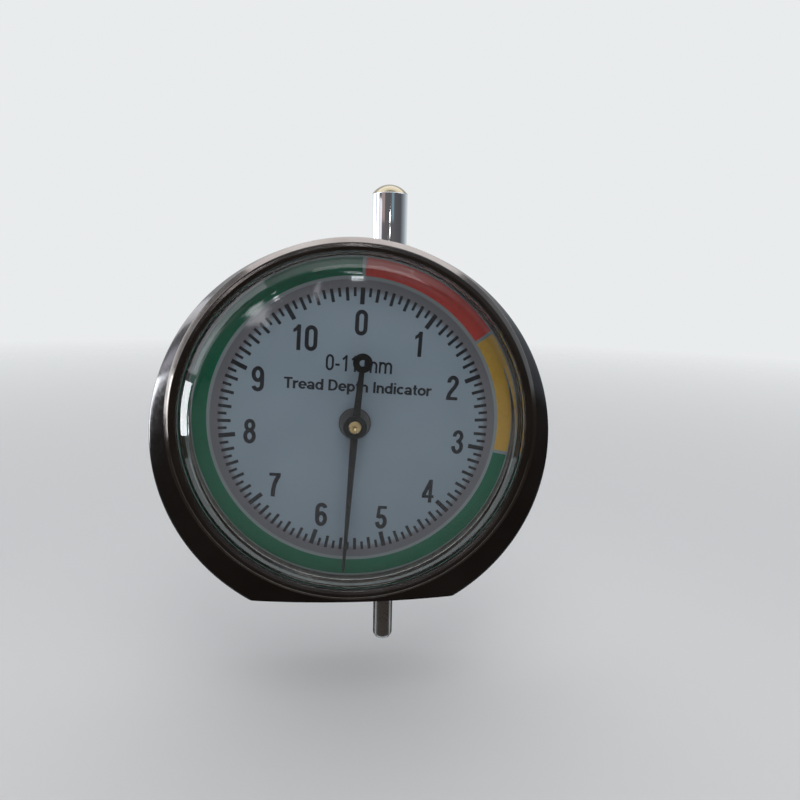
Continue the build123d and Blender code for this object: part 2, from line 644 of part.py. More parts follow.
with BuildPart() as probe:
    with BuildSketch(Plane.XZ):
        with BuildLine():
            tip_edge = (PLUNGER_X + PROBE_R - TIP_EASE, PROBE_TIP_Z)
            wall_edge = (PLUNGER_X + PROBE_R, PROBE_TIP_Z + TIP_EASE)
            Line((PLUNGER_X, PROBE_TIP_Z), tip_edge)
            RadiusArc(tip_edge, wall_edge, -TIP_EASE)
            Polyline(wall_edge, (PLUNGER_X + PROBE_R, ROD_LOW_Z),
                     (PLUNGER_X + TANG_R, ROD_LOW_Z), (PLUNGER_X + TANG_R, ROD_LOW_Z + TANG_L),
                     (PLUNGER_X, ROD_LOW_Z + TANG_L), (PLUNGER_X, PROBE_TIP_Z))
        make_face()
    revolve(axis=Axis((PLUNGER_X, 0, 0), (0, 0, 1)))
save(probe.part, "probe")

with BuildPart() as guide_pin:
    with Locations(Plane(origin=(PLUNGER_X, PIN_START_Y, DIAL_Z), z_dir=(0, 1, 0))):
        Cylinder(PIN_R, PIN_L, align=BASE)
    chamfer(guide_pin.faces().sort_by(Axis.Y)[-1].edges(), length=EDGE_CHAMFER)
save(guide_pin.part, "guide_pin")
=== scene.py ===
"""Looks of the dial tread depth gauge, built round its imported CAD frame."""

import math
import random

import bmesh
import bpy
from mathutils import Matrix, Vector
from mathutils.geometry import delaunay_2d_cdt


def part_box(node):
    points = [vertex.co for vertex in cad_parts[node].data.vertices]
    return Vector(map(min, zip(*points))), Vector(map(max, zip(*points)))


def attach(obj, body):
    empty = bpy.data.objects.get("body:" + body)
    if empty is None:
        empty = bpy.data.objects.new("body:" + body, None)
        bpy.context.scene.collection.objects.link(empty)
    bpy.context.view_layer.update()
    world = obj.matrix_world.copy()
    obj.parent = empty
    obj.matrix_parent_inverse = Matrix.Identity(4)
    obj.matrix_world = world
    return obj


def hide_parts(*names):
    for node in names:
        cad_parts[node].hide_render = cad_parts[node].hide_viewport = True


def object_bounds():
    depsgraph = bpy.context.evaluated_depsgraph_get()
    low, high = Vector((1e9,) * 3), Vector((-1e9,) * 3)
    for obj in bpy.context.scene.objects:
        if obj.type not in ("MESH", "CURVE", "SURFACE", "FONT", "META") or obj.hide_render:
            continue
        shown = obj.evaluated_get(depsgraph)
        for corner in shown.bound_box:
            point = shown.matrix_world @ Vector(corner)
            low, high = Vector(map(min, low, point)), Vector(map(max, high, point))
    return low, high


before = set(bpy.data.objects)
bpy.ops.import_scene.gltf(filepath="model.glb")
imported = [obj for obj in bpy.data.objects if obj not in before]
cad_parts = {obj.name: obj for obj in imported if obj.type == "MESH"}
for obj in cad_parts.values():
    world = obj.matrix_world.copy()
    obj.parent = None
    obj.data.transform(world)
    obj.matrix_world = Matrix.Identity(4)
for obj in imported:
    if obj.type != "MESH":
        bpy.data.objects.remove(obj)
cad_low, cad_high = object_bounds()

MM = 0.001

# --- Places and sizes read from the frame, in metres ------------------
dial_low, dial_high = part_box("dial_plate")
bezel_low, bezel_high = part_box("bezel")
crystal_low, crystal_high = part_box("crystal")
spacer_low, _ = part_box("spacer_ring")
_, case_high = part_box("case_body")
cover_low, cover_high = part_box("back_cover")
sleeve_low, sleeve_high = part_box("plunger_sleeve")
rod_low, rod_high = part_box("rack_rod")
probe_low, probe_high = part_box("probe")
hub_low, hub_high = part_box("pointer_hub")
pointer_low, pointer_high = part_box("pointer")
arbor_low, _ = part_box("pinion_arbor")

DIAL_CENTRE = Vector((0, dial_low.y, (dial_low.z + dial_high.z) / 2))
PLUNGER_X = (sleeve_low.x + sleeve_high.x) / 2
CASE_R = case_high.x / MM
CASE_DROP = (DIAL_CENTRE.z - (case_high.z - case_high.x)) / MM
BEZEL_R = bezel_high.x / MM
SLEEVE_R = (sleeve_high.x - sleeve_low.x) / 2 / MM
PROBE_R = (probe_high.x - probe_low.x) / 2 / MM
ROD_R = (rod_high.x - rod_low.x) / 2 / MM


def height(y):
    """Height in front of the dial's face, in millimetres, of a depth y in metres."""
    return (DIAL_CENTRE.y - y) / MM


# Local axes of parts turned about the dial axis: x right, y up, z out of the dial, in millimetres.
DIAL_FRAME = Matrix.Translation(DIAL_CENTRE) @ Matrix(
    ((1, 0, 0, 0), (0, 0, -1, 0), (0, 1, 0, 0), (0, 0, 0, 1))
) @ Matrix.Scale(MM, 4)
# Local axes of parts turned about the plunger axis, in millimetres from the foot.
PLUNGER_FRAME = Matrix.Translation((PLUNGER_X, 0, 0)) @ Matrix.Scale(MM, 4)

# --- Print on the dial, in millimetres --------------------------------
SCALE_MAX = 11  # one turn of the pointer
DIAL_TURN = math.radians(-3.0)  # the zero mark stands a little clockwise of the plunger
TICK_OUTER_R = 13.5
NUMERAL_R = 10.4
NUMERAL_SHIFTS = (  # how far each numeral is printed off its even place
    (0.04, -0.28), (0.19, -0.35), (0.14, -0.09), (0.33, 0.13), (0.15, 0.06), (0.40, 0.16),
    (0.05, 0.23), (0.14, 0.05), (-0.06, 0.16), (-0.26, -0.34), (0.26, -0.46),
)
BAND = (14.6, 16.2)  # inner and outer radius of the colour band
BAND_GAP = 0.34
SECTORS = (("red", 0.0, 1.6), ("yellow", 1.6, 3.0), ("green", 3.0, 11.0))
TICK_SIZES = {"whole": (1.62, 0.44), "even": (1.28, 0.31), "odd": (0.86, 0.27)}
RING_INNER_R = 13.35  # grey ring under the ticks
RING_OUTER_R = 14.3
PRINT_TOP = 0.012  # above the dial's face
PRINT_SUNK = 0.004  # into the dial
PEN = 0.39  # line width of a numeral
BOLD_PEN = 0.42
BOLD_NUMERALS = (5, 6, 7)
RANGE_LINE = ("0-11 mm", 1.62, 0.135, 6.7, (0.1, 6.05))  # words, height, pen, width, spot
USE_LINE = ("Tread Depth Indicator", 1.12, 0.175, 14.7, (0.15, 3.80))

rng = random.Random(11)


# --- Mesh helpers -----------------------------------------------------
def mesh_object(name, bm, place):
    """An object in the scene from a bmesh in local millimetres."""
    mesh = bpy.data.meshes.new(name)
    bm.to_mesh(mesh)
    bm.free()
    mesh.transform(place)
    thing = bpy.data.objects.new(name, mesh)
    bpy.context.scene.collection.objects.link(thing)
    return thing


def smooth(mesh, sharp_deg=32):
    """Smooth shading, with sharp edges above an angle."""
    mesh.shade_smooth()
    mesh.set_sharp_from_angle(angle=math.radians(sharp_deg))


def finish_mesh(name, bm, place, body, material, stands_for=()):
    """Turns a bmesh in local millimetres into a piece that rides on a body."""
    bmesh.ops.recalc_face_normals(bm, faces=bm.faces)
    piece = mesh_object(name, bm, place)
    smooth(piece.data)
    piece.data.materials.append(material)
    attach(piece, body)
    if stands_for:
        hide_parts(*stands_for)
    return piece


def rounded(corners, steps=6):
    """Outline whose corners (x, y, radius) are rounded; a radius of 0 keeps a corner."""
    outline = []
    count = len(corners)
    for i, (x, y, radius) in enumerate(corners):
        here = Vector((x, y))
        before = Vector(corners[i - 1][:2]) - here
        after = Vector(corners[(i + 1) % count][:2]) - here
        if radius <= 0 or before.length < 1e-9 or after.length < 1e-9:
            outline.append(here)
            continue
        half = before.angle(after) / 2
        reach = min(radius / math.tan(half), 0.49 * min(before.length, after.length))
        start = here + before.normalized() * reach
        end = here + after.normalized() * reach
        for k in range(steps + 1):
            t = k / steps
            outline.append((1 - t) ** 2 * start + 2 * t * (1 - t) * here + t**2 * end)
    return outline


def turned(outline, segments=160):
    """Bmesh of a closed outline (radius, height) turned about the local z axis."""
    bm = bmesh.new()
    rings = []
    for r, h in outline:
        if r < 1e-6:
            rings.append([bm.verts.new((0, 0, h))])
            continue
        ring = []
        for k in range(segments):
            a = 2 * math.pi * k / segments
            ring.append(bm.verts.new((r * math.cos(a), r * math.sin(a), h)))
        rings.append(ring)
    for i, ring in enumerate(rings):
        following = rings[(i + 1) % len(rings)]
        if len(ring) == 1 and len(following) == 1:
            continue
        for k in range(segments):
            n = (k + 1) % segments
            if len(ring) == 1:
                bm.faces.new((ring[0], following[n], following[k]))
            elif len(following) == 1:
                bm.faces.new((ring[k], ring[n], following[0]))
            else:
                bm.faces.new((ring[k], ring[n], following[n], following[k]))
    return bm


def turned_piece(name, outline, place, body, material, stands_for=(), segments=160):
    """A turned part as a finished piece."""
    bm = turned(outline, segments)
    return finish_mesh(name, bm, place, body, material, stands_for)


def prism(bm, outline, low, high):
    """Adds an upright prism on a plan outline, from low to high along local z."""
    bottom = [bm.verts.new((x, y, low)) for x, y in outline]
    top = [bm.verts.new((x, y, high)) for x, y in outline]
    bm.faces.new(list(reversed(bottom)))
    bm.faces.new(top)
    for i in range(len(outline)):
        n = (i + 1) % len(outline)
        bm.faces.new((bottom[i], bottom[n], top[n], top[i]))


def cutter(bm, place):
    """A hidden helper object for a boolean cut."""
    bmesh.ops.recalc_face_normals(bm, faces=bm.faces)
    return mesh_object("cutter", bm, place)


def cut(piece, helpers):
    """Cuts the helpers out of a piece and removes them."""
    for helper in helpers:
        boolean = piece.modifiers.new("cut", "BOOLEAN")
        boolean.operation = "DIFFERENCE"
        boolean.solver = "EXACT"
        boolean.object = helper
    graph = bpy.context.evaluated_depsgraph_get()
    mesh = bpy.data.meshes.new_from_object(piece.evaluated_get(graph))
    piece.modifiers.clear()
    old = piece.data
    piece.data = mesh
    bpy.data.meshes.remove(old)
    smooth(mesh)
    for helper in helpers:
        bpy.data.objects.remove(helper)


# --- Material helpers -------------------------------------------------
class Nodes:
    """Short calls for the nodes of a new material, or of the world."""

    def __init__(self, name, world=None):
        self.material = world or bpy.data.materials.new(name)
        self.material.use_nodes = True
        self.tree = self.material.node_tree
        self.shader = self.tree.nodes["Background" if world else "Principled BSDF"]

    def new(self, kind, **inputs):
        node = self.tree.nodes.new(kind)
        for key, value in inputs.items():
            node.inputs[key.replace("_", " ")].default_value = value
        return node

    def link(self, source, target):
        self.tree.links.new(source, target)

    def place(self, centre=None, scale=(1, 1, 1)):
        """Object coordinates from a point, stretched."""
        coords = self.new("ShaderNodeTexCoord").outputs["Object"]
        if centre is not None:
            shift = self.new("ShaderNodeVectorMath")
            shift.operation = "SUBTRACT"
            shift.inputs[1].default_value = centre
            self.link(coords, shift.inputs[0])
            coords = shift.outputs[0]
        mapping = self.new("ShaderNodeMapping", Scale=scale)
        self.link(coords, mapping.inputs["Vector"])
        return mapping.outputs[0]

    def noise(self, scale, detail=4.0, stretch=(1, 1, 1), roughness=0.55, distortion=0.0):
        """Noise value, with its scale in cycles per metre."""
        node = self.new("ShaderNodeTexNoise", Scale=scale, Detail=detail, Roughness=roughness,
                        Distortion=distortion)
        self.link(self.place(scale=stretch), node.inputs["Vector"])
        return node.outputs["Fac"]

    def ramp(self, value, stops):
        """Maps a value to another one through (position, value) stops."""
        node = self.new("ShaderNodeValToRGB")
        elements = node.color_ramp.elements
        while len(elements) < len(stops):
            elements.new(0.5)
        for element, (position, level) in zip(elements, stops):
            element.position = position
            if isinstance(level, (int, float)):
                level = (level, level, level)
            element.color = (*level, 1)
        self.link(value, node.inputs["Fac"])
        return node.outputs["Color"]

    def math(self, operation, a, b=0.5, clamp=False):
        """One arithmetic step on values or sockets."""
        node = self.new("ShaderNodeMath")
        node.operation = operation
        node.use_clamp = clamp
        for socket, value in ((node.inputs[0], a), (node.inputs[1], b)):
            if isinstance(value, (int, float)):
                socket.default_value = value
            else:
                self.link(value, socket)
        return node.outputs[0]

    def mix(self, factor, a, b, blend="MIX"):
        """Colour mix."""
        node = self.new("ShaderNodeMix")
        node.data_type = "RGBA"
        node.blend_type = blend
        sockets = {s.identifier: s for s in node.inputs}
        for key, value in (("Factor_Float", factor), ("A_Color", a), ("B_Color", b)):
            if isinstance(value, tuple):
                sockets[key].default_value = (*value, 1)
            elif isinstance(value, (int, float)):
                sockets[key].default_value = value
            else:
                self.link(value, sockets[key])
        return {s.identifier: s for s in node.outputs}["Result_Color"]

    def length(self, a, b):
        """Length of a plane vector from its two coordinates."""
        squares = [self.math("MULTIPLY", value, value) for value in (a, b)]
        return self.math("SQRT", self.math("ADD", *squares))

    def radius(self):
        """Distance from the dial axis, in metres."""
        split = self.new("ShaderNodeSeparateXYZ")
        self.link(self.place(centre=DIAL_CENTRE), split.inputs[0])
        return self.length(split.outputs["X"], split.outputs["Z"])

    def axis_value(self, axis):
        """One object coordinate, in metres."""
        split = self.new("ShaderNodeSeparateXYZ")
        self.link(self.place(), split.inputs[0])
        return split.outputs[axis]

    def band(self, value, low, high, soft):
        """1 between low and high, falling to 0 over soft on each side."""
        rise = self.math("DIVIDE", self.math("SUBTRACT", value, low - soft), soft, True)
        fall = self.math("DIVIDE", self.math("SUBTRACT", high + soft, value), soft, True)
        return self.math("MULTIPLY", rise, fall)

    def bump(self, value, strength, distance):
        """Normal from a height value; distance is in metres."""
        node = self.new("ShaderNodeBump", Strength=strength, Distance=distance)
        self.link(value, node.inputs["Height"])
        return node.outputs["Normal"]

    def set(self, **values):
        """Sets or links sockets of the shader."""
        for key, value in values.items():
            socket = self.shader.inputs[key.replace("_", " ")]
            if isinstance(value, tuple) and len(value) == 3:
                socket.default_value = (*value, 1)
            elif isinstance(value, (int, float)):
                socket.default_value = value
            else:
                self.link(value, socket)
        return self.material


def metal(name, dark, light, rough, grain=900, stretch=(1, 1, 1), bump=0.15, metallic=1.0):
    """A metal with tarnish, uneven polish and fine grain."""
    n = Nodes(name)
    stain = n.noise(220, 5)
    fine = n.noise(grain, 3, stretch)
    colour = n.mix(n.ramp(stain, ((0.35, 0.0), (0.7, 1.0))), dark, light)
    low, high = rough
    gloss = n.ramp(n.math("ADD", n.math("MULTIPLY", stain, 0.6), n.math("MULTIPLY", fine, 0.4)),
                   ((0.3, low), (0.7, high)))
    return n.set(Base_Color=colour, Metallic=metallic, Roughness=gloss,
                 Normal=n.bump(fine, bump, 0.00002))


def dark_plate(name, dark, light, edge_reflection_colour, edges, rough):
    """Glossy dark plating with handling marks and a painted reflection between the radii of
    `edges`.
    """
    n = Nodes(name)
    cloud = n.noise(140, 4)
    speck = n.noise(2600, 2)
    scratch = n.noise(700, 2, (1, 1, 9))
    colour = n.mix(n.ramp(cloud, ((0.35, 0.0), (0.7, 1.0))), dark, light)
    radius = n.radius()
    mask = None
    for low, high, soft, amount in edges:
        one = n.math("MULTIPLY", n.band(radius, low * MM, high * MM, soft * MM), amount)
        mask = one if mask is None else n.math("MAXIMUM", mask, one)
    # Painted reflection: the second colour, split up by noise, lies only on the lower front edge,
    # where a warm reflection shows.
    if mask is not None:
        low_side = n.math("DIVIDE", n.math("SUBTRACT", DIAL_CENTRE.z - 2 * MM, n.axis_value("Z")),
                          8 * MM, True)
        front_edge = n.band(n.axis_value("Y"), bezel_low.y, bezel_low.y + 0.9 * MM, 0.4 * MM)
        mask = n.math("MULTIPLY", mask, n.math("MULTIPLY", low_side, front_edge))
        painted_reflection_mask = n.math("MULTIPLY", mask, n.ramp(n.noise(1500, 3), ((0.40, 0.15), (0.62, 1.0))))
        colour = n.mix(painted_reflection_mask, colour, edge_reflection_colour)
    low, high = rough
    gloss = n.ramp(n.math("ADD", n.math("MULTIPLY", cloud, 0.55), n.math("MULTIPLY", speck, 0.45)),
                   ((0.35, low), (0.68, high)))
    relief = n.math("ADD", n.math("MULTIPLY", speck, 0.5), n.math("MULTIPLY", scratch, 0.5))
    return n.set(Base_Color=colour, Metallic=0.9, Roughness=gloss,
                 Normal=n.bump(relief, 0.10, 0.00001))


def printed(name, colour, rough=0.42):
    """Ink with a faint grain."""
    n = Nodes(name)
    grain = n.noise(3500, 2)
    paler = tuple(min(1.0, c * 1.15 + 0.002) for c in colour)
    mixed = n.mix(n.ramp(grain, ((0.35, 0.0), (0.68, 1.0))), colour, paler)
    return n.set(Base_Color=mixed, Roughness=rough, Specular_IOR_Level=0.22,
                 Normal=n.bump(grain, 0.12, 0.000005))


def dial_enamel():
    """Pale blue-grey dial with a greyer ring under the ticks and white border lines."""
    n = Nodes("dial_enamel_mat")
    radius = n.radius()
    cloud = n.noise(120, 3)
    grain = n.noise(4200, 3)
    field = n.mix(n.ramp(cloud, ((0.3, 0.0), (0.7, 1.0))), (0.290, 0.362, 0.432),
                  (0.330, 0.408, 0.478))
    ring = n.band(radius, RING_INNER_R * MM, RING_OUTER_R * MM, 0.4 * MM)
    outer = n.band(radius, RING_OUTER_R * MM, 30 * MM, 0.06 * MM)
    colour = n.mix(ring, field, (0.195, 0.190, 0.215))
    colour = n.mix(outer, colour, (0.30, 0.35, 0.36))
    colour = n.mix(n.math("MULTIPLY", n.ramp(grain, ((0.6, 0.0), (0.75, 1.0))), 0.12),
                   colour, (0.2, 0.22, 0.24))
    return n.set(Base_Color=colour, Roughness=n.ramp(cloud, ((0.3, 0.38), (0.7, 0.50))),
                 Specular_IOR_Level=0.25, Normal=n.bump(grain, 0.06, 0.000006))


def spacer_plastic():
    """Spacer with a dark inner wall of painted shade and a pale end face of painted light."""
    n = Nodes("spacer_painted_shade_and_light_mat")
    grain = n.noise(2200, 3)
    # Painted shade: the inner wall is coloured dark where shade falls inside the ring.
    wall = n.mix(n.ramp(grain, ((0.35, 0.0), (0.68, 1.0))), (0.040, 0.036, 0.026),
                 (0.075, 0.068, 0.052))
    # Painted light: the end face under the crystal is coloured pale for the light seen through the
    # crystal's edge.
    face = n.mix(n.ramp(grain, ((0.35, 0.0), (0.68, 1.0))), (0.42, 0.41, 0.42),
                 (0.54, 0.53, 0.54))
    depth = n.math("SUBTRACT", n.axis_value("Y"), spacer_low.y + 0.05 * MM)
    near_end = n.math("LESS_THAN", depth, 0.0)
    return n.set(Base_Color=n.mix(near_end, wall, face), Roughness=0.5,
                 Normal=n.bump(grain, 0.15, 0.00001))


def acrylic():
    """Clear crystal with fine scratches."""
    n = Nodes("crystal_acrylic_mat")
    lines = None
    for stretch in ((1, 1, 0.03), (0.04, 1, 1.3)):
        one = n.ramp(n.noise(5200, 2, stretch, distortion=0.3), ((0.66, 0.0), (0.72, 1.0)))
        lines = one if lines is None else n.math("MAXIMUM", lines, one)
    haze = n.ramp(n.noise(260, 3), ((0.4, 0.015), (0.75, 0.06)))
    rough = n.math("ADD", haze, n.math("MULTIPLY", lines, 0.05))
    return n.set(Base_Color=(0.965, 0.985, 0.985), Roughness=rough, IOR=1.49,
                 Transmission_Weight=1.0, Normal=n.bump(lines, 0.04, 0.000006))


# --- Materials --------------------------------------------------------
CASE_MAT = dark_plate("case_plate_mat", (0.105, 0.100, 0.104), (0.150, 0.148, 0.155),
                      (0.36, 0.27, 0.20), (), (0.10, 0.22))
# The copper colour and the ring at 17.8-18.1 mm paint a warm reflection on the bezel's lower edge.
BEZEL_MAT = dark_plate("bezel_plate_mat", (0.128, 0.112, 0.104), (0.190, 0.175, 0.167),
                       (0.46, 0.31, 0.23), ((17.80, 18.1, 0.08, 0.55),), (0.10, 0.24))
CHROME_MAT = metal("sleeve_chrome_mat", (0.80, 0.81, 0.83), (0.86, 0.87, 0.88), (0.03, 0.09),
                   1600, (1, 1, 0.2), 0.05)
DOME_MAT = metal("rod_brass_mat", (0.20, 0.172, 0.115), (0.29, 0.262, 0.195), (0.14, 0.28), 1500)
BRASS_MAT = metal("bush_brass_mat", (0.60, 0.43, 0.20), (0.76, 0.58, 0.30), (0.2, 0.36), 1500)
PLATE_BRASS_MAT = metal("plate_brass_mat", (0.62, 0.46, 0.22), (0.78, 0.61, 0.32), (0.22, 0.4),
                        2400, (1, 1, 0.08), 0.3)
STEEL_MAT = metal("screw_steel_mat", (0.42, 0.42, 0.43), (0.60, 0.60, 0.61), (0.2, 0.36), 1800)
BUSH_STEEL_MAT = metal("bush_steel_mat", (0.085, 0.085, 0.09), (0.13, 0.13, 0.14), (0.35, 0.55),
                       1800, metallic=0.5)
SPRING_MAT = metal("spring_steel_mat", (0.35, 0.36, 0.38), (0.52, 0.53, 0.55), (0.15, 0.3), 1800)
PROBE_MAT = metal("probe_steel_mat", (0.50, 0.50, 0.51), (0.66, 0.66, 0.67), (0.22, 0.36), 2200,
                  (1, 1, 6), 0.2, metallic=0.7)
BLACK_MAT = printed("pointer_black_mat", (0.006, 0.006, 0.007), 0.38)
SPACER_MAT = spacer_plastic()
DIAL_MAT = dial_enamel()
ACRYLIC_MAT = acrylic()
INK_MAT = printed("ink_black_mat", (0.010, 0.012, 0.017), 0.5)
SECTOR_MATS = {
    "red": printed("ink_red_mat", (0.62, 0.062, 0.045)),
    "yellow": printed("ink_yellow_mat", (0.62, 0.370, 0.062)),
    "green": printed("ink_green_mat", (0.001, 0.135, 0.068)),
}

CAD_LOOKS = {
    "upper_guide_bush": BRASS_MAT, "lower_guide_bush": BRASS_MAT,
    "movement_plate": PLATE_BRASS_MAT, "movement_plate_screws": STEEL_MAT,
    "front_bearing_bush": BUSH_STEEL_MAT, "rear_bridge": PLATE_BRASS_MAT,
    "bridge_pillars": BRASS_MAT, "bridge_screws": STEEL_MAT, "rear_bearing_bush": BRASS_MAT,
    "guide_plate": PLATE_BRASS_MAT, "guide_pillars": BRASS_MAT, "guide_screws": STEEL_MAT,
    "friction_spring": SPRING_MAT, "friction_spring_screw": STEEL_MAT,
    "bezel_spring_ring": SPRING_MAT, "guide_pin": SPRING_MAT, "pinion_arbor": BRASS_MAT,
}
for node, look in CAD_LOOKS.items():
    mesh_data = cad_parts[node].data
    mesh_data.materials.clear()
    mesh_data.materials.append(look)


# --- Case -------------------------------------------------------------
FRONT_H = height(-3.0 * MM)  # front face, where the slope starts
SHOULDER_H = height(-1.4 * MM)  # where the slope ends and the straight wall starts
COLLAR_H = height(-4.0 * MM)
LEDGE_H = height(-2.6 * MM)
REAR_H = height(cover_low.y)
FRONT_R = 18.25
COLLAR_R = 16.6  # the bezel turns on it
RECESS_R = 15.0
CAVITY_R = 12.8
SLOPE_END = 0.93  # share of the way out where the rounding starts
SHOULDER_EDGE = 0.22  # rounding between slope and wall
REAR_EDGE = 0.7
CASE_SEGMENTS = 256
CASE_BORES = (  # lowest z, highest z and radius, about the plunger
    (-1, 6.3, 1.7), (6.2, 21, 2.1), (20.9, 35.3, 2.1), (35.2, 38.85, 2.3), (38.8, 45, 2.0),
)


def bore_cutter(low, high, radius, place, segments):
    """A cylinder that cuts a bore from low to high."""
    return cutter(turned([(0, low), (radius, low), (radius, high), (0, high)], segments), place)


def cut_foot(bm, foot):
    """Cuts a round body flat at a height below the dial axis."""
    bmesh.ops.bisect_plane(bm, geom=bm.verts[:] + bm.edges[:] + bm.faces[:],
                           plane_co=(0, foot, 0), plane_no=(0, -1, 0), clear_outer=True)
    bmesh.ops.holes_fill(bm, edges=[e for e in bm.edges if e.is_boundary])


def make_case():
    """The round case: sloping shoulder, straight wall, collar, cavity, bores and flat foot."""
    bm = bmesh.new()

    def ring(share, h, shrink=0.0):
        """Ring between the front circle (share 0) and the case's outline (share 1)."""
        centre = -CASE_DROP * share
        radius = FRONT_R + (CASE_R - FRONT_R) * share - shrink
        return [
            bm.verts.new((radius * math.cos(2 * math.pi * k / CASE_SEGMENTS),
                          centre + radius * math.sin(2 * math.pi * k / CASE_SEGMENTS), h))
            for k in range(CASE_SEGMENTS)
        ]

    rows = [ring(share, FRONT_H + (SHOULDER_H - FRONT_H) * share)
            for share in (0.0, 0.02, 0.06, 0.25, 0.5, 0.75, SLOPE_END)]
    slope_end_h = FRONT_H + (SHOULDER_H - FRONT_H) * SLOPE_END
    wall_top, wall_low = SHOULDER_H - SHOULDER_EDGE, REAR_H + REAR_EDGE
    for step in range(1, 7):
        t = step / 6
        a, b = (1 - t) ** 2, 2 * t * (1 - t)
        rows.append(ring(a * SLOPE_END + b + t * t,
                         a * slope_end_h + b * SHOULDER_H + t * t * wall_top))
    for step in range(1, 9):
        rows.append(ring(1.0, wall_top + (wall_low - wall_top) * step / 8))
    for step in range(1, 7):
        angle = step / 6 * math.pi / 2
        rows.append(ring(1.0, REAR_H + REAR_EDGE * (1 - math.sin(angle)),
                         REAR_EDGE * (1 - math.cos(angle))))
    for a, b in zip(rows, rows[1:]):
        for k in range(CASE_SEGMENTS):
            n = (k + 1) % CASE_SEGMENTS
            bm.faces.new((a[k], a[n], b[n], b[k]))
    bm.faces.new(rows[0])
    bm.faces.new(list(reversed(rows[-1])))
    cut_foot(bm, -DIAL_CENTRE.z / MM)
    piece = finish_mesh("case_body_shell", bm, DIAL_FRAME, "case", CASE_MAT,
                        ("case_body",))
    neck = CAVITY_R + 0.1
    collar = cutter(turned([(neck, FRONT_H - 0.5), (COLLAR_R, FRONT_H - 0.5),
                            (COLLAR_R, COLLAR_H - 0.1), (COLLAR_R - 0.1, COLLAR_H),
                            (neck, COLLAR_H)], 256), DIAL_FRAME)
    join = piece.modifiers.new("join", "BOOLEAN")
    join.operation = "UNION"
    join.solver = "EXACT"
    join.object = collar
    inside = [
        bore_cutter(LEDGE_H, COLLAR_H + 1, RECESS_R, DIAL_FRAME, 192),
        bore_cutter(REAR_H - 1, LEDGE_H + 0.5, CAVITY_R, DIAL_FRAME, 192),
    ]
    inside += [bore_cutter(low, high, radius, PLUNGER_FRAME, 96)
               for low, high, radius in CASE_BORES]
    cut(piece, inside)
    bpy.data.objects.remove(collar)


make_case()

# --- Back cover and its screws ----------------------------------------
COVER_EDGE = 0.4
COVER_SCREW_R = 15.6
SCREW_PLACES = [
    (COVER_SCREW_R * math.cos(a), COVER_SCREW_R * math.sin(a))
    for a in (math.pi / 4, 3 * math.pi / 4, 5 * math.pi / 4, 7 * math.pi / 4)
]
COUNTERSINK = ((0, -3), (0.85, -3), (0.85, -0.72), (1.62, 0.05), (1.62, 1), (0, 1))
SCREW = ((0, -3.1, 0), (0.8, -3.1, 0.1), (0.8, -0.75, 0), (1.55, -0.02, 0.06), (0, -0.02, 0))
SCREW_SLOT = ((-2, -0.17), (2, -0.17), (2, 0.17), (-2, 0.17))
SCREW_SLOT_FLOOR = -0.38
# Local axes of the back: x left, y up, z out of the cover, in millimetres.
BACK_FRAME = Matrix.Translation(Vector((0, cover_high.y, DIAL_CENTRE.z))) @ Matrix(
    ((-1, 0, 0, 0), (0, 0, 1, 0), (0, 1, 0, 0), (0, 0, 0, 1))
) @ Matrix.Scale(MM, 4)


def make_back_cover():
    """Flat cover with a rounded edge, a cut foot side and four countersunk holes."""
    radius = (cover_high.x - cover_low.x) / 2 / MM
    thick = (cover_high.y - cover_low.y) / MM
    bm = turned(rounded([(radius, -thick, 0), (radius, 0, COVER_EDGE), (0, 0, 0),
                         (0, -thick, 0)]), 256)
    bmesh.ops.translate(bm, vec=(0, -CASE_DROP, 0), verts=bm.verts)
    cut_foot(bm, -(DIAL_CENTRE.z - cover_low.z) / MM)
    piece = finish_mesh("back_cover_plate", bm, BACK_FRAME, "case", CASE_MAT,
                        ("back_cover",))
    cut(piece, [cutter(turned(COUNTERSINK, 64), BACK_FRAME @ Matrix.Translation((x, y, 0)))
                for x, y in SCREW_PLACES])


def make_cover_screws():
    """Countersunk slotted screws."""
    for index, (x, y) in enumerate(SCREW_PLACES):
        turn = Matrix.Rotation(rng.uniform(0, math.pi), 4, "Z")
        spot = BACK_FRAME @ Matrix.Translation((x, y, 0)) @ turn
        stands = ("back_cover_screws",) if index == 0 else ()
        piece = turned_piece(f"back_cover_screw_{index + 1}", rounded(SCREW, 3), spot, "case",
                             STEEL_MAT, stands, 64)
        slot_box = bmesh.new()
        prism(slot_box, SCREW_SLOT, SCREW_SLOT_FLOOR, 0.5)
        cut(piece, [cutter(slot_box, spot)])


make_back_cover()
make_cover_screws()


# --- Bezel, spacer, crystal -------------------------------------------
def bezel_outline():
    """Half-section of the bezel with its rounded crown."""
    pocket, lip, bore = 17.4, 16.75, 16.65  # radii
    back, seat, lip_h, top = height(bezel_high.y), -0.4, 2.65, height(bezel_low.y)
    return rounded([
        (pocket, lip_h, 0), (pocket, seat, 0), (bore, seat, 0.05), (bore, back, 0.08),
        (BEZEL_R, back, 0.14), (BEZEL_R, top - 0.62, 0.22), (17.44, top - 0.01, 0.24),
        (17.1, top, 0.1), (lip, top - 0.12, 0.12), (lip, lip_h, 0.04),
    ], 10)


def bezier(start, mid, end, count):
    """Points of a quadratic curve without its first one."""
    points = []
    for k in range(1, count + 1):
        t = k / count
        points.append(tuple((1 - t) ** 2 * start[i] + 2 * t * (1 - t) * mid[i] + t * t * end[i]
                            for i in (0, 1)))
    return points


def dome(edge, apex, drop, count):
    """Points of a shallow spherical cap's outline, from its middle to its edge."""
    sphere = (edge**2 + drop**2) / (2 * drop)
    radii = [edge * k / count for k in range(count + 1)]
    return [(r, apex - (sphere - math.sqrt(sphere**2 - r**2))) for r in radii]


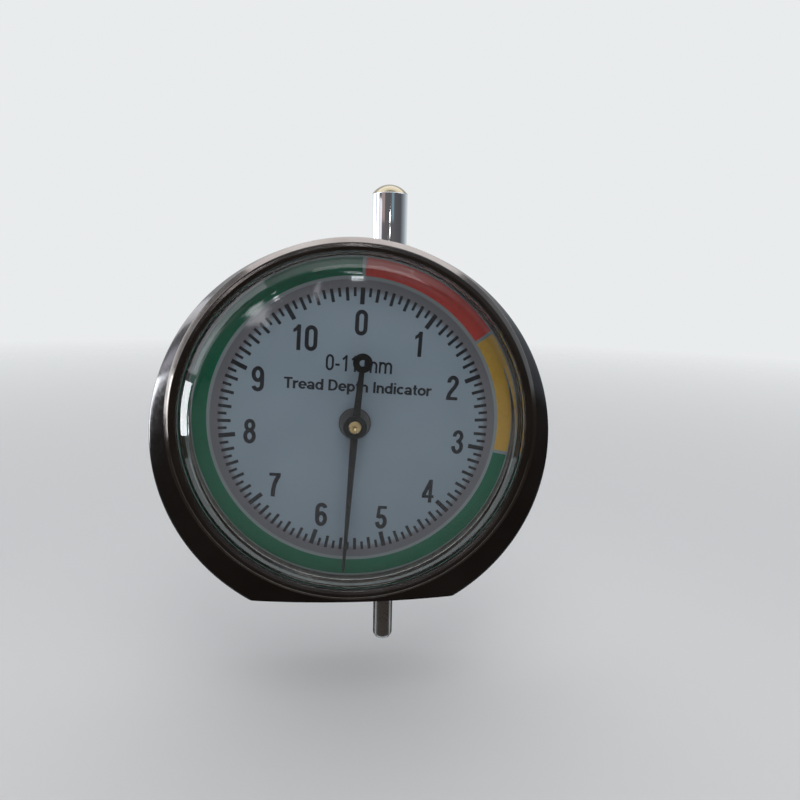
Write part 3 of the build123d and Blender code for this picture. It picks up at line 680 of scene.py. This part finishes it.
def crystal_outline():
    """Half-section of the crystal: dome, bevel and rim outside; rim, slope and dome inside."""
    top, inner = height(crystal_low.y), 3.6
    rim_low, rim_high, rim_r = height(crystal_high.y), 2.62, crystal_high.x / MM
    wall, edge = 16.7, 0.03
    outer = dome(14.7, top, 0.40, 14)
    bend = bezier(outer[-1], (15.15, 4.17), (15.40, 4.01), 8)
    bevel = [(15.55, 3.89), (15.75, 3.72), (15.95, 3.56), (16.12, 3.42)]
    corner = bezier(bevel[-1], (16.60, 3.05), (wall, rim_high + 0.06), 12)
    rim = [(wall, rim_high), (rim_r - edge, rim_high), (rim_r, rim_high - edge),
           (rim_r, rim_low + edge), (rim_r - edge, rim_low), (16.26, rim_low)]
    hollow = dome(14.75, inner, 0.44, 12)
    slope = [(16.20, rim_low + 0.12)]
    slope += bezier(slope[0], (16.14, 2.30), (15.9, 2.50), 5) + [(15.6, 2.74), (15.3, 2.97)]
    slope += bezier(slope[-1], (15.12, 3.12), hollow[-1], 5)[:-1]
    return outer + bend + bevel + corner + rim + slope + list(reversed(hollow))


turned_piece("bezel_ring", bezel_outline(), DIAL_FRAME, "bezel_assembly",
             BEZEL_MAT, ("bezel",), 288)
crystal = turned_piece("crystal_dome", crystal_outline(), DIAL_FRAME, "bezel_assembly",
                       ACRYLIC_MAT, ("crystal",), 288)
crystal.visible_shadow = False  # light reaches the dial through the clear crystal
SPACER_TOP = height(spacer_low.y)
SPACER_R = (16.4, 17.33)  # bore and outside
turned_piece("spacer_ring_turned",
             rounded([(SPACER_R[0], 0.0, 0.03), (SPACER_R[1], 0.0, 0.03),
                      (SPACER_R[1], SPACER_TOP, 0.03), (SPACER_R[0], SPACER_TOP, 0.05)], 3),
             DIAL_FRAME, "bezel_assembly", SPACER_MAT, ("spacer_ring",), 288)

# --- Dial and its print -----------------------------------------------
DIAL_R = dial_high.x / MM
DIAL_T = (dial_high.y - dial_low.y) / MM
DIAL_HOLE_R = 1.63
turned_piece("dial_disc",
             rounded([(DIAL_HOLE_R, -DIAL_T, 0), (DIAL_R, -DIAL_T, 0.03), (DIAL_R, 0, 0.03),
                      (DIAL_HOLE_R, 0, 0.03)], 3),
             DIAL_FRAME, "bezel_assembly", DIAL_MAT, ("dial_plate",), 288)
PRINT_FRAME = DIAL_FRAME @ Matrix.Rotation(DIAL_TURN, 4, "Z")


def reading_angle(reading):
    """Angle from local x of a reading on the scale, which runs clockwise from the top."""
    return math.pi / 2 - 2 * math.pi * reading / SCALE_MAX


def make_ticks():
    """One mark for each tenth of a millimetre, longer at even tenths and longest at whole ones."""
    bm = bmesh.new()
    for tenth in range(SCALE_MAX * 10):
        kind = "whole" if tenth % 10 == 0 else "even" if tenth % 2 == 0 else "odd"
        length, width = TICK_SIZES[kind]
        a = reading_angle(tenth / 10)
        out, side = Vector((math.cos(a), math.sin(a))), Vector((-math.sin(a), math.cos(a)))
        outer, inner = out * TICK_OUTER_R, out * (TICK_OUTER_R - length)
        half = side * width / 2
        prism(bm, [inner + half, inner - half, outer - half, outer + half], -PRINT_SUNK, PRINT_TOP)
    finish_mesh("dial_ticks", bm, PRINT_FRAME, "bezel_assembly", INK_MAT)


def make_sectors():
    """Colour band: tread used up, near its limit, and good."""
    for name, start, end in SECTORS:
        trim = BAND_GAP / sum(BAND)
        a0, a1 = reading_angle(start) - trim, reading_angle(end) + trim
        steps = max(8, int((a0 - a1) / math.radians(1.2)))
        bm = bmesh.new()
        inner, outer = [[(r * math.cos(a0 + (a1 - a0) * k / steps),
                          r * math.sin(a0 + (a1 - a0) * k / steps)) for k in range(steps + 1)]
                        for r in BAND]
        for k in range(steps):
            corners = (outer[k], outer[k + 1], inner[k + 1], inner[k])
            low = [bm.verts.new((*corner, -PRINT_SUNK)) for corner in corners]
            high = [bm.verts.new((*corner, PRINT_TOP)) for corner in corners]
            bm.faces.new(high)
            bm.faces.new(list(reversed(low)))
            bm.faces.new((low[0], low[1], high[1], high[0]))
            bm.faces.new((low[2], low[3], high[3], high[2]))
            if k == 0:
                bm.faces.new((low[3], low[0], high[0], high[3]))
            if k == steps - 1:
                bm.faces.new((low[1], low[2], high[2], high[1]))
        bmesh.ops.remove_doubles(bm, verts=bm.verts, dist=1e-6)
        finish_mesh(f"dial_band_{name}", bm, PRINT_FRAME, "bezel_assembly",
                    SECTOR_MATS[name])


def arc(x, y, rx, ry, start, end, steps=12):
    """Points along an ellipse's arc, in degrees."""
    points = []
    for k in range(steps + 1):
        a = math.radians(start + (end - start) * k / steps)
        points.append((x + rx * math.cos(a), y + ry * math.sin(a)))
    return points


def stroke(points, width, closed=False):
    """Quads along a pen line with square ends."""
    path = [Vector(p) for p in points]
    if closed and (path[0] - path[-1]).length < 1e-6:
        path.pop()
    count = len(path)
    left, right = [], []
    for i, here in enumerate(path):
        before = path[i - 1] if closed or i else None
        after = path[(i + 1) % count] if closed or i + 1 < count else None
        ahead = (after - here).normalized() if after is not None else None
        behind = (here - before).normalized() if before is not None else None
        if ahead is None or behind is None:
            along = ahead if behind is None else behind
            reach = 1.0
        else:
            along = (ahead + behind).normalized()
            reach = 1 / max(0.5, along.dot(ahead))
        side = Vector((-along.y, along.x)) * (width / 2 * reach)
        left.append(here + side)
        right.append(here - side)
    last = count if closed else count - 1
    return [[left[i], right[i], right[(i + 1) % count], left[(i + 1) % count]]
            for i in range(last)]


def numeral(value, pen=PEN):
    """Outline pieces of a bold narrow numeral, 2.5 mm high, centred on the origin."""
    top, bar = 1.25, 0.32
    shapes = {
        "0": lambda: stroke(arc(0, 0.60, 0.42, 0.46, 0, 180) + arc(0, -0.60, 0.42, 0.46, 180, 360),
                            pen, True),
        "1": lambda: [[(-0.05, -top), (0.33, -top), (0.33, top), (-0.05, top)],
                      [(-0.05, top), (-0.05, 0.66), (-0.40, 0.44), (-0.40, 0.80),
                       (-0.16, 0.98), (0.02, top)]],
        "2": lambda: stroke(arc(0, 0.60, 0.40, 0.46, 190, -20)
                            + [(0.22, 0.10), (-0.06, -0.28), (-0.28, -0.62), (-0.37, -1.0)], pen)
        + [[(-0.58, -top), (0.58, -top), (0.58, -top + bar), (-0.58, -top + bar)]],
        "3": lambda: stroke(arc(0, 0.60, 0.37, 0.47, 185, -75), pen * 0.95)
        + stroke(arc(0, -0.50, 0.42, 0.57, 80, -185), pen)
        + [[(-0.14, -0.07), (0.16, -0.07), (0.16, 0.23), (-0.14, 0.23)]],
        "4": lambda: [[(0.06, -top), (0.42, -top), (0.42, top), (0.06, top)],
                      [(-0.62, -0.74), (0.62, -0.74), (0.62, -0.43), (-0.62, -0.43)],
                      [(-0.62, -0.60), (-0.28, -0.60), (0.30, 0.85), (0.30, top), (0.06, top),
                       (-0.62, -0.36)]],
        "5": lambda: [[(-0.40, top - bar), (0.52, top - bar), (0.52, top), (-0.40, top)],
                      [(-0.40, top), (-0.54, -0.06), (-0.20, -0.10), (-0.08, top)]]
        + stroke(arc(0, -0.46, 0.41, 0.60, 140, -175), pen),
        "6": lambda: stroke(arc(0, -0.46, 0.41, 0.60, 0, 360, 24), pen, True)
        + stroke(arc(0, 0.60, 0.41, 0.46, 15, 180) + [(-0.42, 0.1), (-0.41, -0.46)], pen),
        "7": lambda: [[(-0.56, top - bar), (0.57, top - bar), (0.57, top), (-0.56, top)]]
        + stroke([(0.42, 1.02), (0.18, 0.60), (0.0, 0.12), (-0.12, -0.5), (-0.16, -top)], pen),
        "8": lambda: stroke(arc(0, 0.60, 0.36, 0.47, 0, 360, 24), pen * 0.95, True)
        + stroke(arc(0, -0.50, 0.42, 0.57, 0, 360, 24), pen, True),
    }
    if value == "9":
        return [[(-x, -y) for x, y in shape] for shape in numeral("6", pen)]
    return shapes[value]()


def letter(sign, pen):
    """Pen lines of a plain letter one unit high, with its advance."""
    half, mid, tall = pen / 2, 0.36, 0.72
    low, high = half, tall - half
    bowl = (high - low) / 2

    def stem(x, top=1.0, bottom=0.0):
        return stroke([(x, bottom), (x, top)], pen)

    def arch(x, width):
        return stroke([(x, 0.34)] + arc(x + width / 2, high - 0.2, width / 2, 0.2, 180, 0, 8)
                      + [(x + width, 0)], pen)

    glyphs = {
        " ": lambda: ([], 0.30),
        "-": lambda: (stroke([(0.05, 0.38), (0.33, 0.38)], pen), 0.40),
        "0": lambda: (stroke(arc(0.28, 0.68, 0.19, 0.32 - half, 0, 180)
                             + arc(0.28, 0.32, 0.19, 0.32 - half, 180, 360), pen, True), 0.58),
        "1": lambda: (stem(0.34) + stroke([(0.36, 0.95), (0.12, 0.72)], pen), 0.58),
        "D": lambda: (stem(0.10) + stroke([(0.10, 1 - half), (0.32, 1 - half)]
                                          + arc(0.32, 0.5, 0.29, 0.5 - half, 90, -90, 14)[1:]
                                          + [(0.10, half)], pen), 0.74),
        "I": lambda: (stem(0.12), 0.27),
        "T": lambda: (stem(0.31) + stroke([(0, 1 - half), (0.62, 1 - half)], pen), 0.64),
        "a": lambda: (stroke(arc(0.29, high - 0.18, 0.19, 0.18, 165, 0, 8)
                             + [(0.48, 0)], pen)
                      + stroke(arc(0.28, 0.21, 0.19, 0.21 - half, 0, 360, 20), pen, True), 0.62),
        "c": lambda: (stroke(arc(0.30, mid, 0.22, bowl, 45, 315, 18), pen), 0.56),
        "d": lambda: (stem(0.50) + stroke(arc(0.29, mid, 0.21, bowl, 0, 360, 22), pen, True),
                      0.64),
        "e": lambda: (stroke(arc(0.30, mid, 0.22, bowl, 0, 320, 20), pen)
                      + stroke([(0.10, mid), (0.52 + half, mid)], pen * 0.8), 0.60),
        "h": lambda: (stem(0.10) + arch(0.10, 0.38), 0.61),
        "i": lambda: (stem(0.11, tall) + stem(0.11, 1.0, 0.86), 0.26),
        "m": lambda: (stem(0.10, tall) + arch(0.10, 0.36) + arch(0.46, 0.36), 0.95),
        "n": lambda: (stem(0.10, tall) + arch(0.10, 0.38), 0.61),
        "o": lambda: (stroke(arc(0.31, mid, 0.23, bowl, 0, 360, 22), pen, True), 0.64),
        "p": lambda: (stem(0.12, tall, -0.27)
                      + stroke(arc(0.33, mid, 0.21, bowl, 0, 360, 22), pen, True), 0.64),
        "r": lambda: (stem(0.10, tall) + stroke(arc(0.36, 0.38, 0.26, high - 0.38, 180, 80, 8),
                                                pen), 0.41),
        "t": lambda: (stroke([(0.17, 0.92), (0.17, 0.20)]
                             + arc(0.31, 0.20, 0.14, 0.20 - half, 180, 280, 6)[1:], pen)
                      + stroke([(0.02, high), (0.34, high)], pen * 0.85), 0.38),
    }
    return glyphs[sign]()


def inside(point, shape):
    """Whether a point is inside a closed outline."""
    hit = False
    for a, b in zip(shape, shape[1:] + shape[:1]):
        if (a.y > point.y) != (b.y > point.y):
            if point.x < a.x + (point.y - a.y) * (b.x - a.x) / (b.y - a.y):
                hit = not hit
    return hit


def print_shapes(name, shapes, spot):
    """One raised print from overlapping outline pieces, merged into a single outline."""
    shapes = [[Vector(p) + Vector(spot) for p in shape] for shape in shapes]
    points, edges = [], []
    for shape in shapes:
        first, count = len(points), len(shape)
        edges += [(first + i, first + (i + 1) % count) for i in range(count)]
        points += shape
    coords, _, tris, _, _, _ = delaunay_2d_cdt(points, edges, [], 0, 1e-4)
    bm = bmesh.new()
    tops = [bm.verts.new((*co, PRINT_TOP)) for co in coords]
    for tri in tris:
        centre = sum((coords[i] for i in tri), Vector((0, 0))) / 3
        if any(inside(centre, shape) for shape in shapes):
            bm.faces.new([tops[i] for i in tri])
    bmesh.ops.dissolve_limit(bm, angle_limit=0.01, verts=bm.verts, edges=bm.edges)
    loose = [v for v in bm.verts if not v.link_faces]
    bmesh.ops.delete(bm, geom=loose, context="VERTS")
    result = bmesh.ops.extrude_face_region(bm, geom=bm.faces[:])
    lower = [item for item in result["geom"] if isinstance(item, bmesh.types.BMVert)]
    bmesh.ops.translate(bm, vec=(0, 0, -PRINT_TOP - PRINT_SUNK), verts=lower)
    return finish_mesh(name, bm, PRINT_FRAME, "bezel_assembly", INK_MAT)


def print_line(name, words, size, pen, width, spot):
    """A line of plain letters of a given height and width, centred on a spot of the dial."""
    shapes, x = [], 0.0
    for sign in words:
        pieces, advance = letter(sign, pen)
        shapes += [[(px + x, py) for px, py in piece] for piece in pieces]
        x += advance
    stretch = width / x
    placed = [[((px - x / 2) * stretch, (py - 0.5) * size) for px, py in shape]
              for shape in shapes]
    print_shapes(name, placed, spot)


make_ticks()
make_sectors()
for value in range(SCALE_MAX):
    angle = reading_angle(value)
    shift = NUMERAL_SHIFTS[value]
    place = (NUMERAL_R * math.cos(angle) + shift[0], NUMERAL_R * math.sin(angle) + shift[1])
    if value == 10:
        pieces = [[(x - 0.72, y) for x, y in shape] for shape in numeral("1")]
        pieces += [[(x + 0.62, y) for x, y in shape] for shape in numeral("0")]
    else:
        pieces = numeral(str(value), BOLD_PEN if value in BOLD_NUMERALS else PEN)
    print_shapes(f"dial_numeral_{value}", pieces, place)
print_line("dial_range_text", *RANGE_LINE)
print_line("dial_use_text", *USE_LINE)


# --- Pointer ----------------------------------------------------------
POINTER_TURN = -184.2  # degrees from the dial's top at rest
NEEDLE = 15.3
TAIL = 6.35
TAIL_BEND = 2.2  # degrees
NEEDLE_HALF_WIDTHS = (0.39, 0.14, 0.26)  # at the boss, near the tip and at the tail
ARBOR_R = 0.63


def make_pointer():
    """Flat tapered needle with a bent tail, counterweight ring, boss, hub and arbor end."""
    low_h, high_h = height(pointer_high.y), height(pointer_low.y)
    place = DIAL_FRAME @ Matrix.Rotation(math.radians(POINTER_TURN), 4, "Z")
    bend = math.radians(TAIL_BEND)
    ring_x, ring_y = -TAIL * math.sin(bend), -TAIL * math.cos(bend)
    root, end, back = NEEDLE_HALF_WIDTHS
    ring_r, hole_r = 0.95, 0.31
    neck = (TAIL - ring_r + 0.1) / TAIL
    bm = bmesh.new()
    outline = [(-root, 0), (ring_x * neck - back, ring_y * neck),
               (ring_x * neck + back, ring_y * neck), (root, 0), (end, NEEDLE - 0.5),
               (0.05, NEEDLE), (-0.05, NEEDLE), (-end, NEEDLE - 0.5)]
    prism(bm, outline, low_h, high_h)
    needle = finish_mesh("pointer_needle", bm, place, "pointer_assembly",
                         BLACK_MAT, ("pointer",))
    soften = needle.modifiers.new("soften", "BEVEL")
    soften.width = 0.03 * MM
    soften.segments = 2

    def black(name, corners, steps, spot=place, stands=()):
        turned_piece(name, rounded(corners, steps), spot, "pointer_assembly",
                     BLACK_MAT, stands, 96)

    black("pointer_counterweight",
          [(hole_r, low_h, 0.04), (ring_r, low_h, 0.04), (ring_r, high_h, 0.05),
           (hole_r, high_h, 0.05)], 3, place @ Matrix.Translation((ring_x, ring_y, 0)))
    black("pointer_boss", [(ARBOR_R, low_h, 0), (1.05, low_h, 0.03), (1.05, high_h, 0.03),
                           (ARBOR_R, high_h, 0)], 3)
    hub_foot, hub_top = height(hub_high.y), height(hub_low.y)
    black("pointer_hub_turned",
          [(ARBOR_R, hub_foot, 0), (0.95, hub_foot, 0.05), (0.95, low_h, 0),
           (1.15, high_h, 0.02), (1.15, hub_top, 0.1), (ARBOR_R, hub_top, 0.03)], 4,
          stands=("pointer_hub",))
    top = height(arbor_low.y)
    cap_r = ARBOR_R + 0.002  # closes on the hub's bore
    cap = rounded([(0, top - 0.12, 0), (0.14, top - 0.14, 0.05), (0.19, top - 0.50, 0.03),
                   (0.33, top - 0.50, 0.03), (0.40, top - 0.01, 0.05), (0.52, top, 0.08),
                   (cap_r, top - 0.14, 0.06), (cap_r, hub_top - 0.6, 0), (0, hub_top - 0.6, 0)],
                  4)
    turned_piece("arbor_end", cap, place, "pointer_assembly", DOME_MAT, (), 96)


make_pointer()


# --- Plunger ----------------------------------------------------------
SHOULDER_Z = 29.5  # where the rod steps down to its neck
NECK_R = 1.2
DOME_R = 1.82
PIN_R, PIN = 0.7, 2.4  # the probe's pin in the rod's foot
RACK_GAP = ((-1.95, -0.415), (-1.32, -0.121), (-1.32, 0.121), (-1.95, 0.415))
RACK_PITCH = 1.0
RACK_GAPS = 15


def make_plunger():
    """Chrome sleeve, brass rod with its rack and domed end, and the steel probe."""
    low, high = sleeve_low.z / MM, sleeve_high.z / MM
    turned_piece("plunger_sleeve_turned",
                 rounded([(NECK_R, low, 0.05), (SLEEVE_R, low, 0.1), (SLEEVE_R, high, 0.12),
                          (NECK_R, high, 0.05)], 5),
                 PLUNGER_FRAME, "plunger", CHROME_MAT, ("plunger_sleeve",), 160)
    top, foot = rod_high.z / MM, rod_low.z / MM
    cap = list(reversed(dome(DOME_R, top, top - high, 14)[1:]))
    outline = [(0, foot + PIN), (PIN_R, foot + PIN), (PIN_R, foot), (ROD_R - 0.1, foot),
               (ROD_R, foot + 0.1), (ROD_R, SHOULDER_Z - 0.1), (ROD_R - 0.1, SHOULDER_Z),
               (NECK_R, SHOULDER_Z), (NECK_R, high), (DOME_R - 0.03, high)] + cap + [(0, top)]
    rod = turned_piece("rack_rod_turned", outline, PLUNGER_FRAME, "plunger",
                       DOME_MAT, ("rack_rod",), 128)
    gaps = bmesh.new()
    side = Matrix(((1, 0, 0, 0), (0, 0, -1, 0), (0, 1, 0, 0), (0, 0, 0, 1)))
    for step in range(RACK_GAPS):
        z = DIAL_CENTRE.z / MM + (step - (RACK_GAPS - 1) // 2) * RACK_PITCH
        prism(gaps, [(x, z + dz) for x, dz in RACK_GAP], -2.6, 2.6)
    cut(rod, [cutter(gaps, PLUNGER_FRAME @ side)])
    tip = probe_low.z / MM
    outline = rounded([(0, tip, 0), (PROBE_R - 0.25, tip, 0.15), (PROBE_R, tip + 0.45, 0.2),
                       (PROBE_R, foot, 0), (PIN_R, foot, 0), (PIN_R, foot + PIN, 0.05),
                       (0, foot + PIN, 0)], 5)
    turned_piece("probe_turned", outline, PLUNGER_FRAME, "plunger", PROBE_MAT,
                 ("probe",), 96)


make_plunger()

# --- Stage, light and camera ------------------------------------------
FLOOR_Z = cad_low.z - 5.6 * MM  # just below the probe's lowest place
FLOOR_R = 0.6
CAMERA_AT = Vector((-0.61, -62.0, 34.06)) * MM
CAMERA_RIGHT = Vector((0.9961, -0.0852, 0.0217))
CAMERA_UP = Vector((-0.0058, 0.1829, 0.9831))


def make_floor():
    """Pale floor that fades into the backdrop."""
    bm = bmesh.new()
    bmesh.ops.create_circle(bm, cap_ends=True, segments=128, radius=FLOOR_R)
    floor = mesh_object("floor", bm, Matrix.Translation((0, 0, FLOOR_Z)))
    n = Nodes("floor_mat")
    split = n.new("ShaderNodeSeparateXYZ")
    n.link(n.place(), split.inputs[0])
    fade = n.ramp(n.math("MULTIPLY", n.length(split.outputs["X"], split.outputs["Y"]),
                         1 / FLOOR_R), ((0.12, 1.0), (0.85, 0.0)))
    n.set(Base_Color=(0.92, 0.92, 0.92), Roughness=0.9, Specular_IOR_Level=0.0, Alpha=fade)
    floor.data.materials.append(n.material)
    floor.visible_glossy = False
    floor.visible_diffuse = False


def make_world():
    """Soft surroundings: bright behind, above and to the left, dim in front and dark below."""
    world = bpy.data.worlds.new("studio")
    bpy.context.scene.world = world
    n = Nodes("studio", world)
    split = n.new("ShaderNodeSeparateXYZ")
    n.link(n.new("ShaderNodeTexCoord").outputs["Generated"], split.inputs[0])

    def ramp(axis, stops):
        """Colour along one axis of the direction, from -1 to 1."""
        span = n.new("ShaderNodeMapRange", From_Min=-1)
        n.link(split.outputs[axis], span.inputs["Value"])
        return n.ramp(span.outputs[0], [((at + 1) / 2, colour) for at, colour in stops])

    depth = ramp("Y", ((-1.0, (0.115, 0.108, 0.112)), (-0.35, (0.15, 0.148, 0.16)),
                       (0.15, (0.55, 0.57, 0.60)), (0.5, (0.90, 0.92, 0.94)),
                       (1.0, (0.92, 0.93, 0.94))))
    side = ramp("X", ((-1.0, 1.0), (0.35, 1.0), (0.95, (0.55, 0.60, 0.62))))
    open_sky = n.mix(1.0, depth, side, "MULTIPLY")
    above_ground = ramp("Z", ((-1.0, 0.0), (-0.06, 0.0), (0.02, 1.0), (1.0, 1.0)))
    shade = n.mix(above_ground, (0.050, 0.040, 0.033), open_sky)
    overhead = ramp("Z", ((-1.0, 0.0), (0.66, 0.0), (0.95, 1.0)))
    lit = n.mix(overhead, shade, (0.80, 0.81, 0.83))
    path = n.new("ShaderNodeLightPath")
    n.set(Color=n.mix(path.outputs["Is Camera Ray"], lit, (0.815, 0.835, 0.845)))


def panel(name, at, towards, size, radiance, colour=(1, 1, 1), sharp=False):
    """Soft rectangular light, in millimetres; a sharp one shows only in glossy surfaces."""
    light = bpy.data.lights.new(name, "AREA")
    light.shape = "RECTANGLE"
    light.size, light.size_y = size[0] * MM, size[1] * MM
    light.energy = radiance * math.pi * light.size * light.size_y
    light.color = colour
    lamp = bpy.data.objects.new(name, light)
    bpy.context.scene.collection.objects.link(lamp)
    lamp.location = Vector(at) * MM
    lamp.rotation_mode = "QUATERNION"
    lamp.rotation_quaternion = (Vector(towards) * MM - lamp.location).to_track_quat("-Z", "Y")
    lamp.visible_camera = False
    lamp.visible_diffuse = not sharp
    lamp.visible_glossy = sharp


def make_camera():
    """Hand-held close-up from a little above the dial."""
    data = bpy.data.cameras.new("camera")
    data.lens = 26.1
    data.sensor_width = 36.0
    data.clip_start = 0.002
    data.clip_end = 10.0
    camera = bpy.data.objects.new("camera", data)
    bpy.context.scene.collection.objects.link(camera)
    back = CAMERA_RIGHT.cross(CAMERA_UP)
    axes = Matrix((CAMERA_RIGHT, CAMERA_UP, back)).transposed().to_4x4()
    camera.matrix_world = Matrix.Translation(CAMERA_AT) @ axes
    bpy.context.scene.camera = camera


make_floor()
make_world()
make_camera()
panel("softbox_front", (8, -50, 88), (0, -5, 30), (60, 40), 2.3, (1.0, 0.99, 0.98))
panel("window_left", (-95, 4, 16), (0, 0, 20), (26, 32), 12.0, (0.93, 0.97, 1.0), True)
panel("wall_upper_left", (-200, -22, 140), (0, -8, 30), (76, 190), 1.7, (0.93, 0.93, 1.0), True)
panel("sheen_left", (-90, -48, 38), (0, 0, 24), (34, 60), 0.85, (0.92, 0.92, 1.0), True)
panel("glow_low", (0, 18, -100), (0, 5, 10), (600, 44), 0.9, (0.84, 0.95, 1.0), True)
panel("window_back_left", (-170, 75, 60), (0, 0, 42), (60, 130), 2.2, (0.97, 0.99, 1.0), True)
panel("ceiling_back", (0, 76, 260), (0, 0, 40), (420, 162), 2.6, (0.98, 0.98, 1.0), True)
panel("lamp_high", (0, -200, 81), (0, 0, 36), (11, 5), 16.0, (0.90, 0.96, 1.0), True)
panel("lamp_low", (3, -200, 70), (0, 0, 36), (7, 4), 14.0, (0.90, 0.96, 1.0), True)
panel("lamp_corner", (-46, -200, 57), (0, 0, 36), (4, 3), 14.0, (0.92, 0.96, 1.0), True)
panel("haze_outer", (-64, -202, 54), (0, 0, 30), (14, 12), 3.4, (0.95, 0.96, 1.0), True)
panel("haze_inner", (-54, -202, 42), (0, 0, 30), (14, 14), 2.2, (0.95, 0.96, 1.0), True)
panel("haze_mid", (-20, -204, 58), (0, 0, 30), (3, 18), 1.5, (0.92, 0.93, 1.0), True)
panel("tint_warm", (-150, -150, 110), (0, 0, 42), (90, 60), 0.26, (1.0, 0.70, 0.64), True)
panel("tint_cool", (60, -200, 110), (0, 0, 42), (60, 60), 0.24, (0.36, 0.80, 1.0), True)
bpy.context.scene.view_settings.view_transform = "Standard"
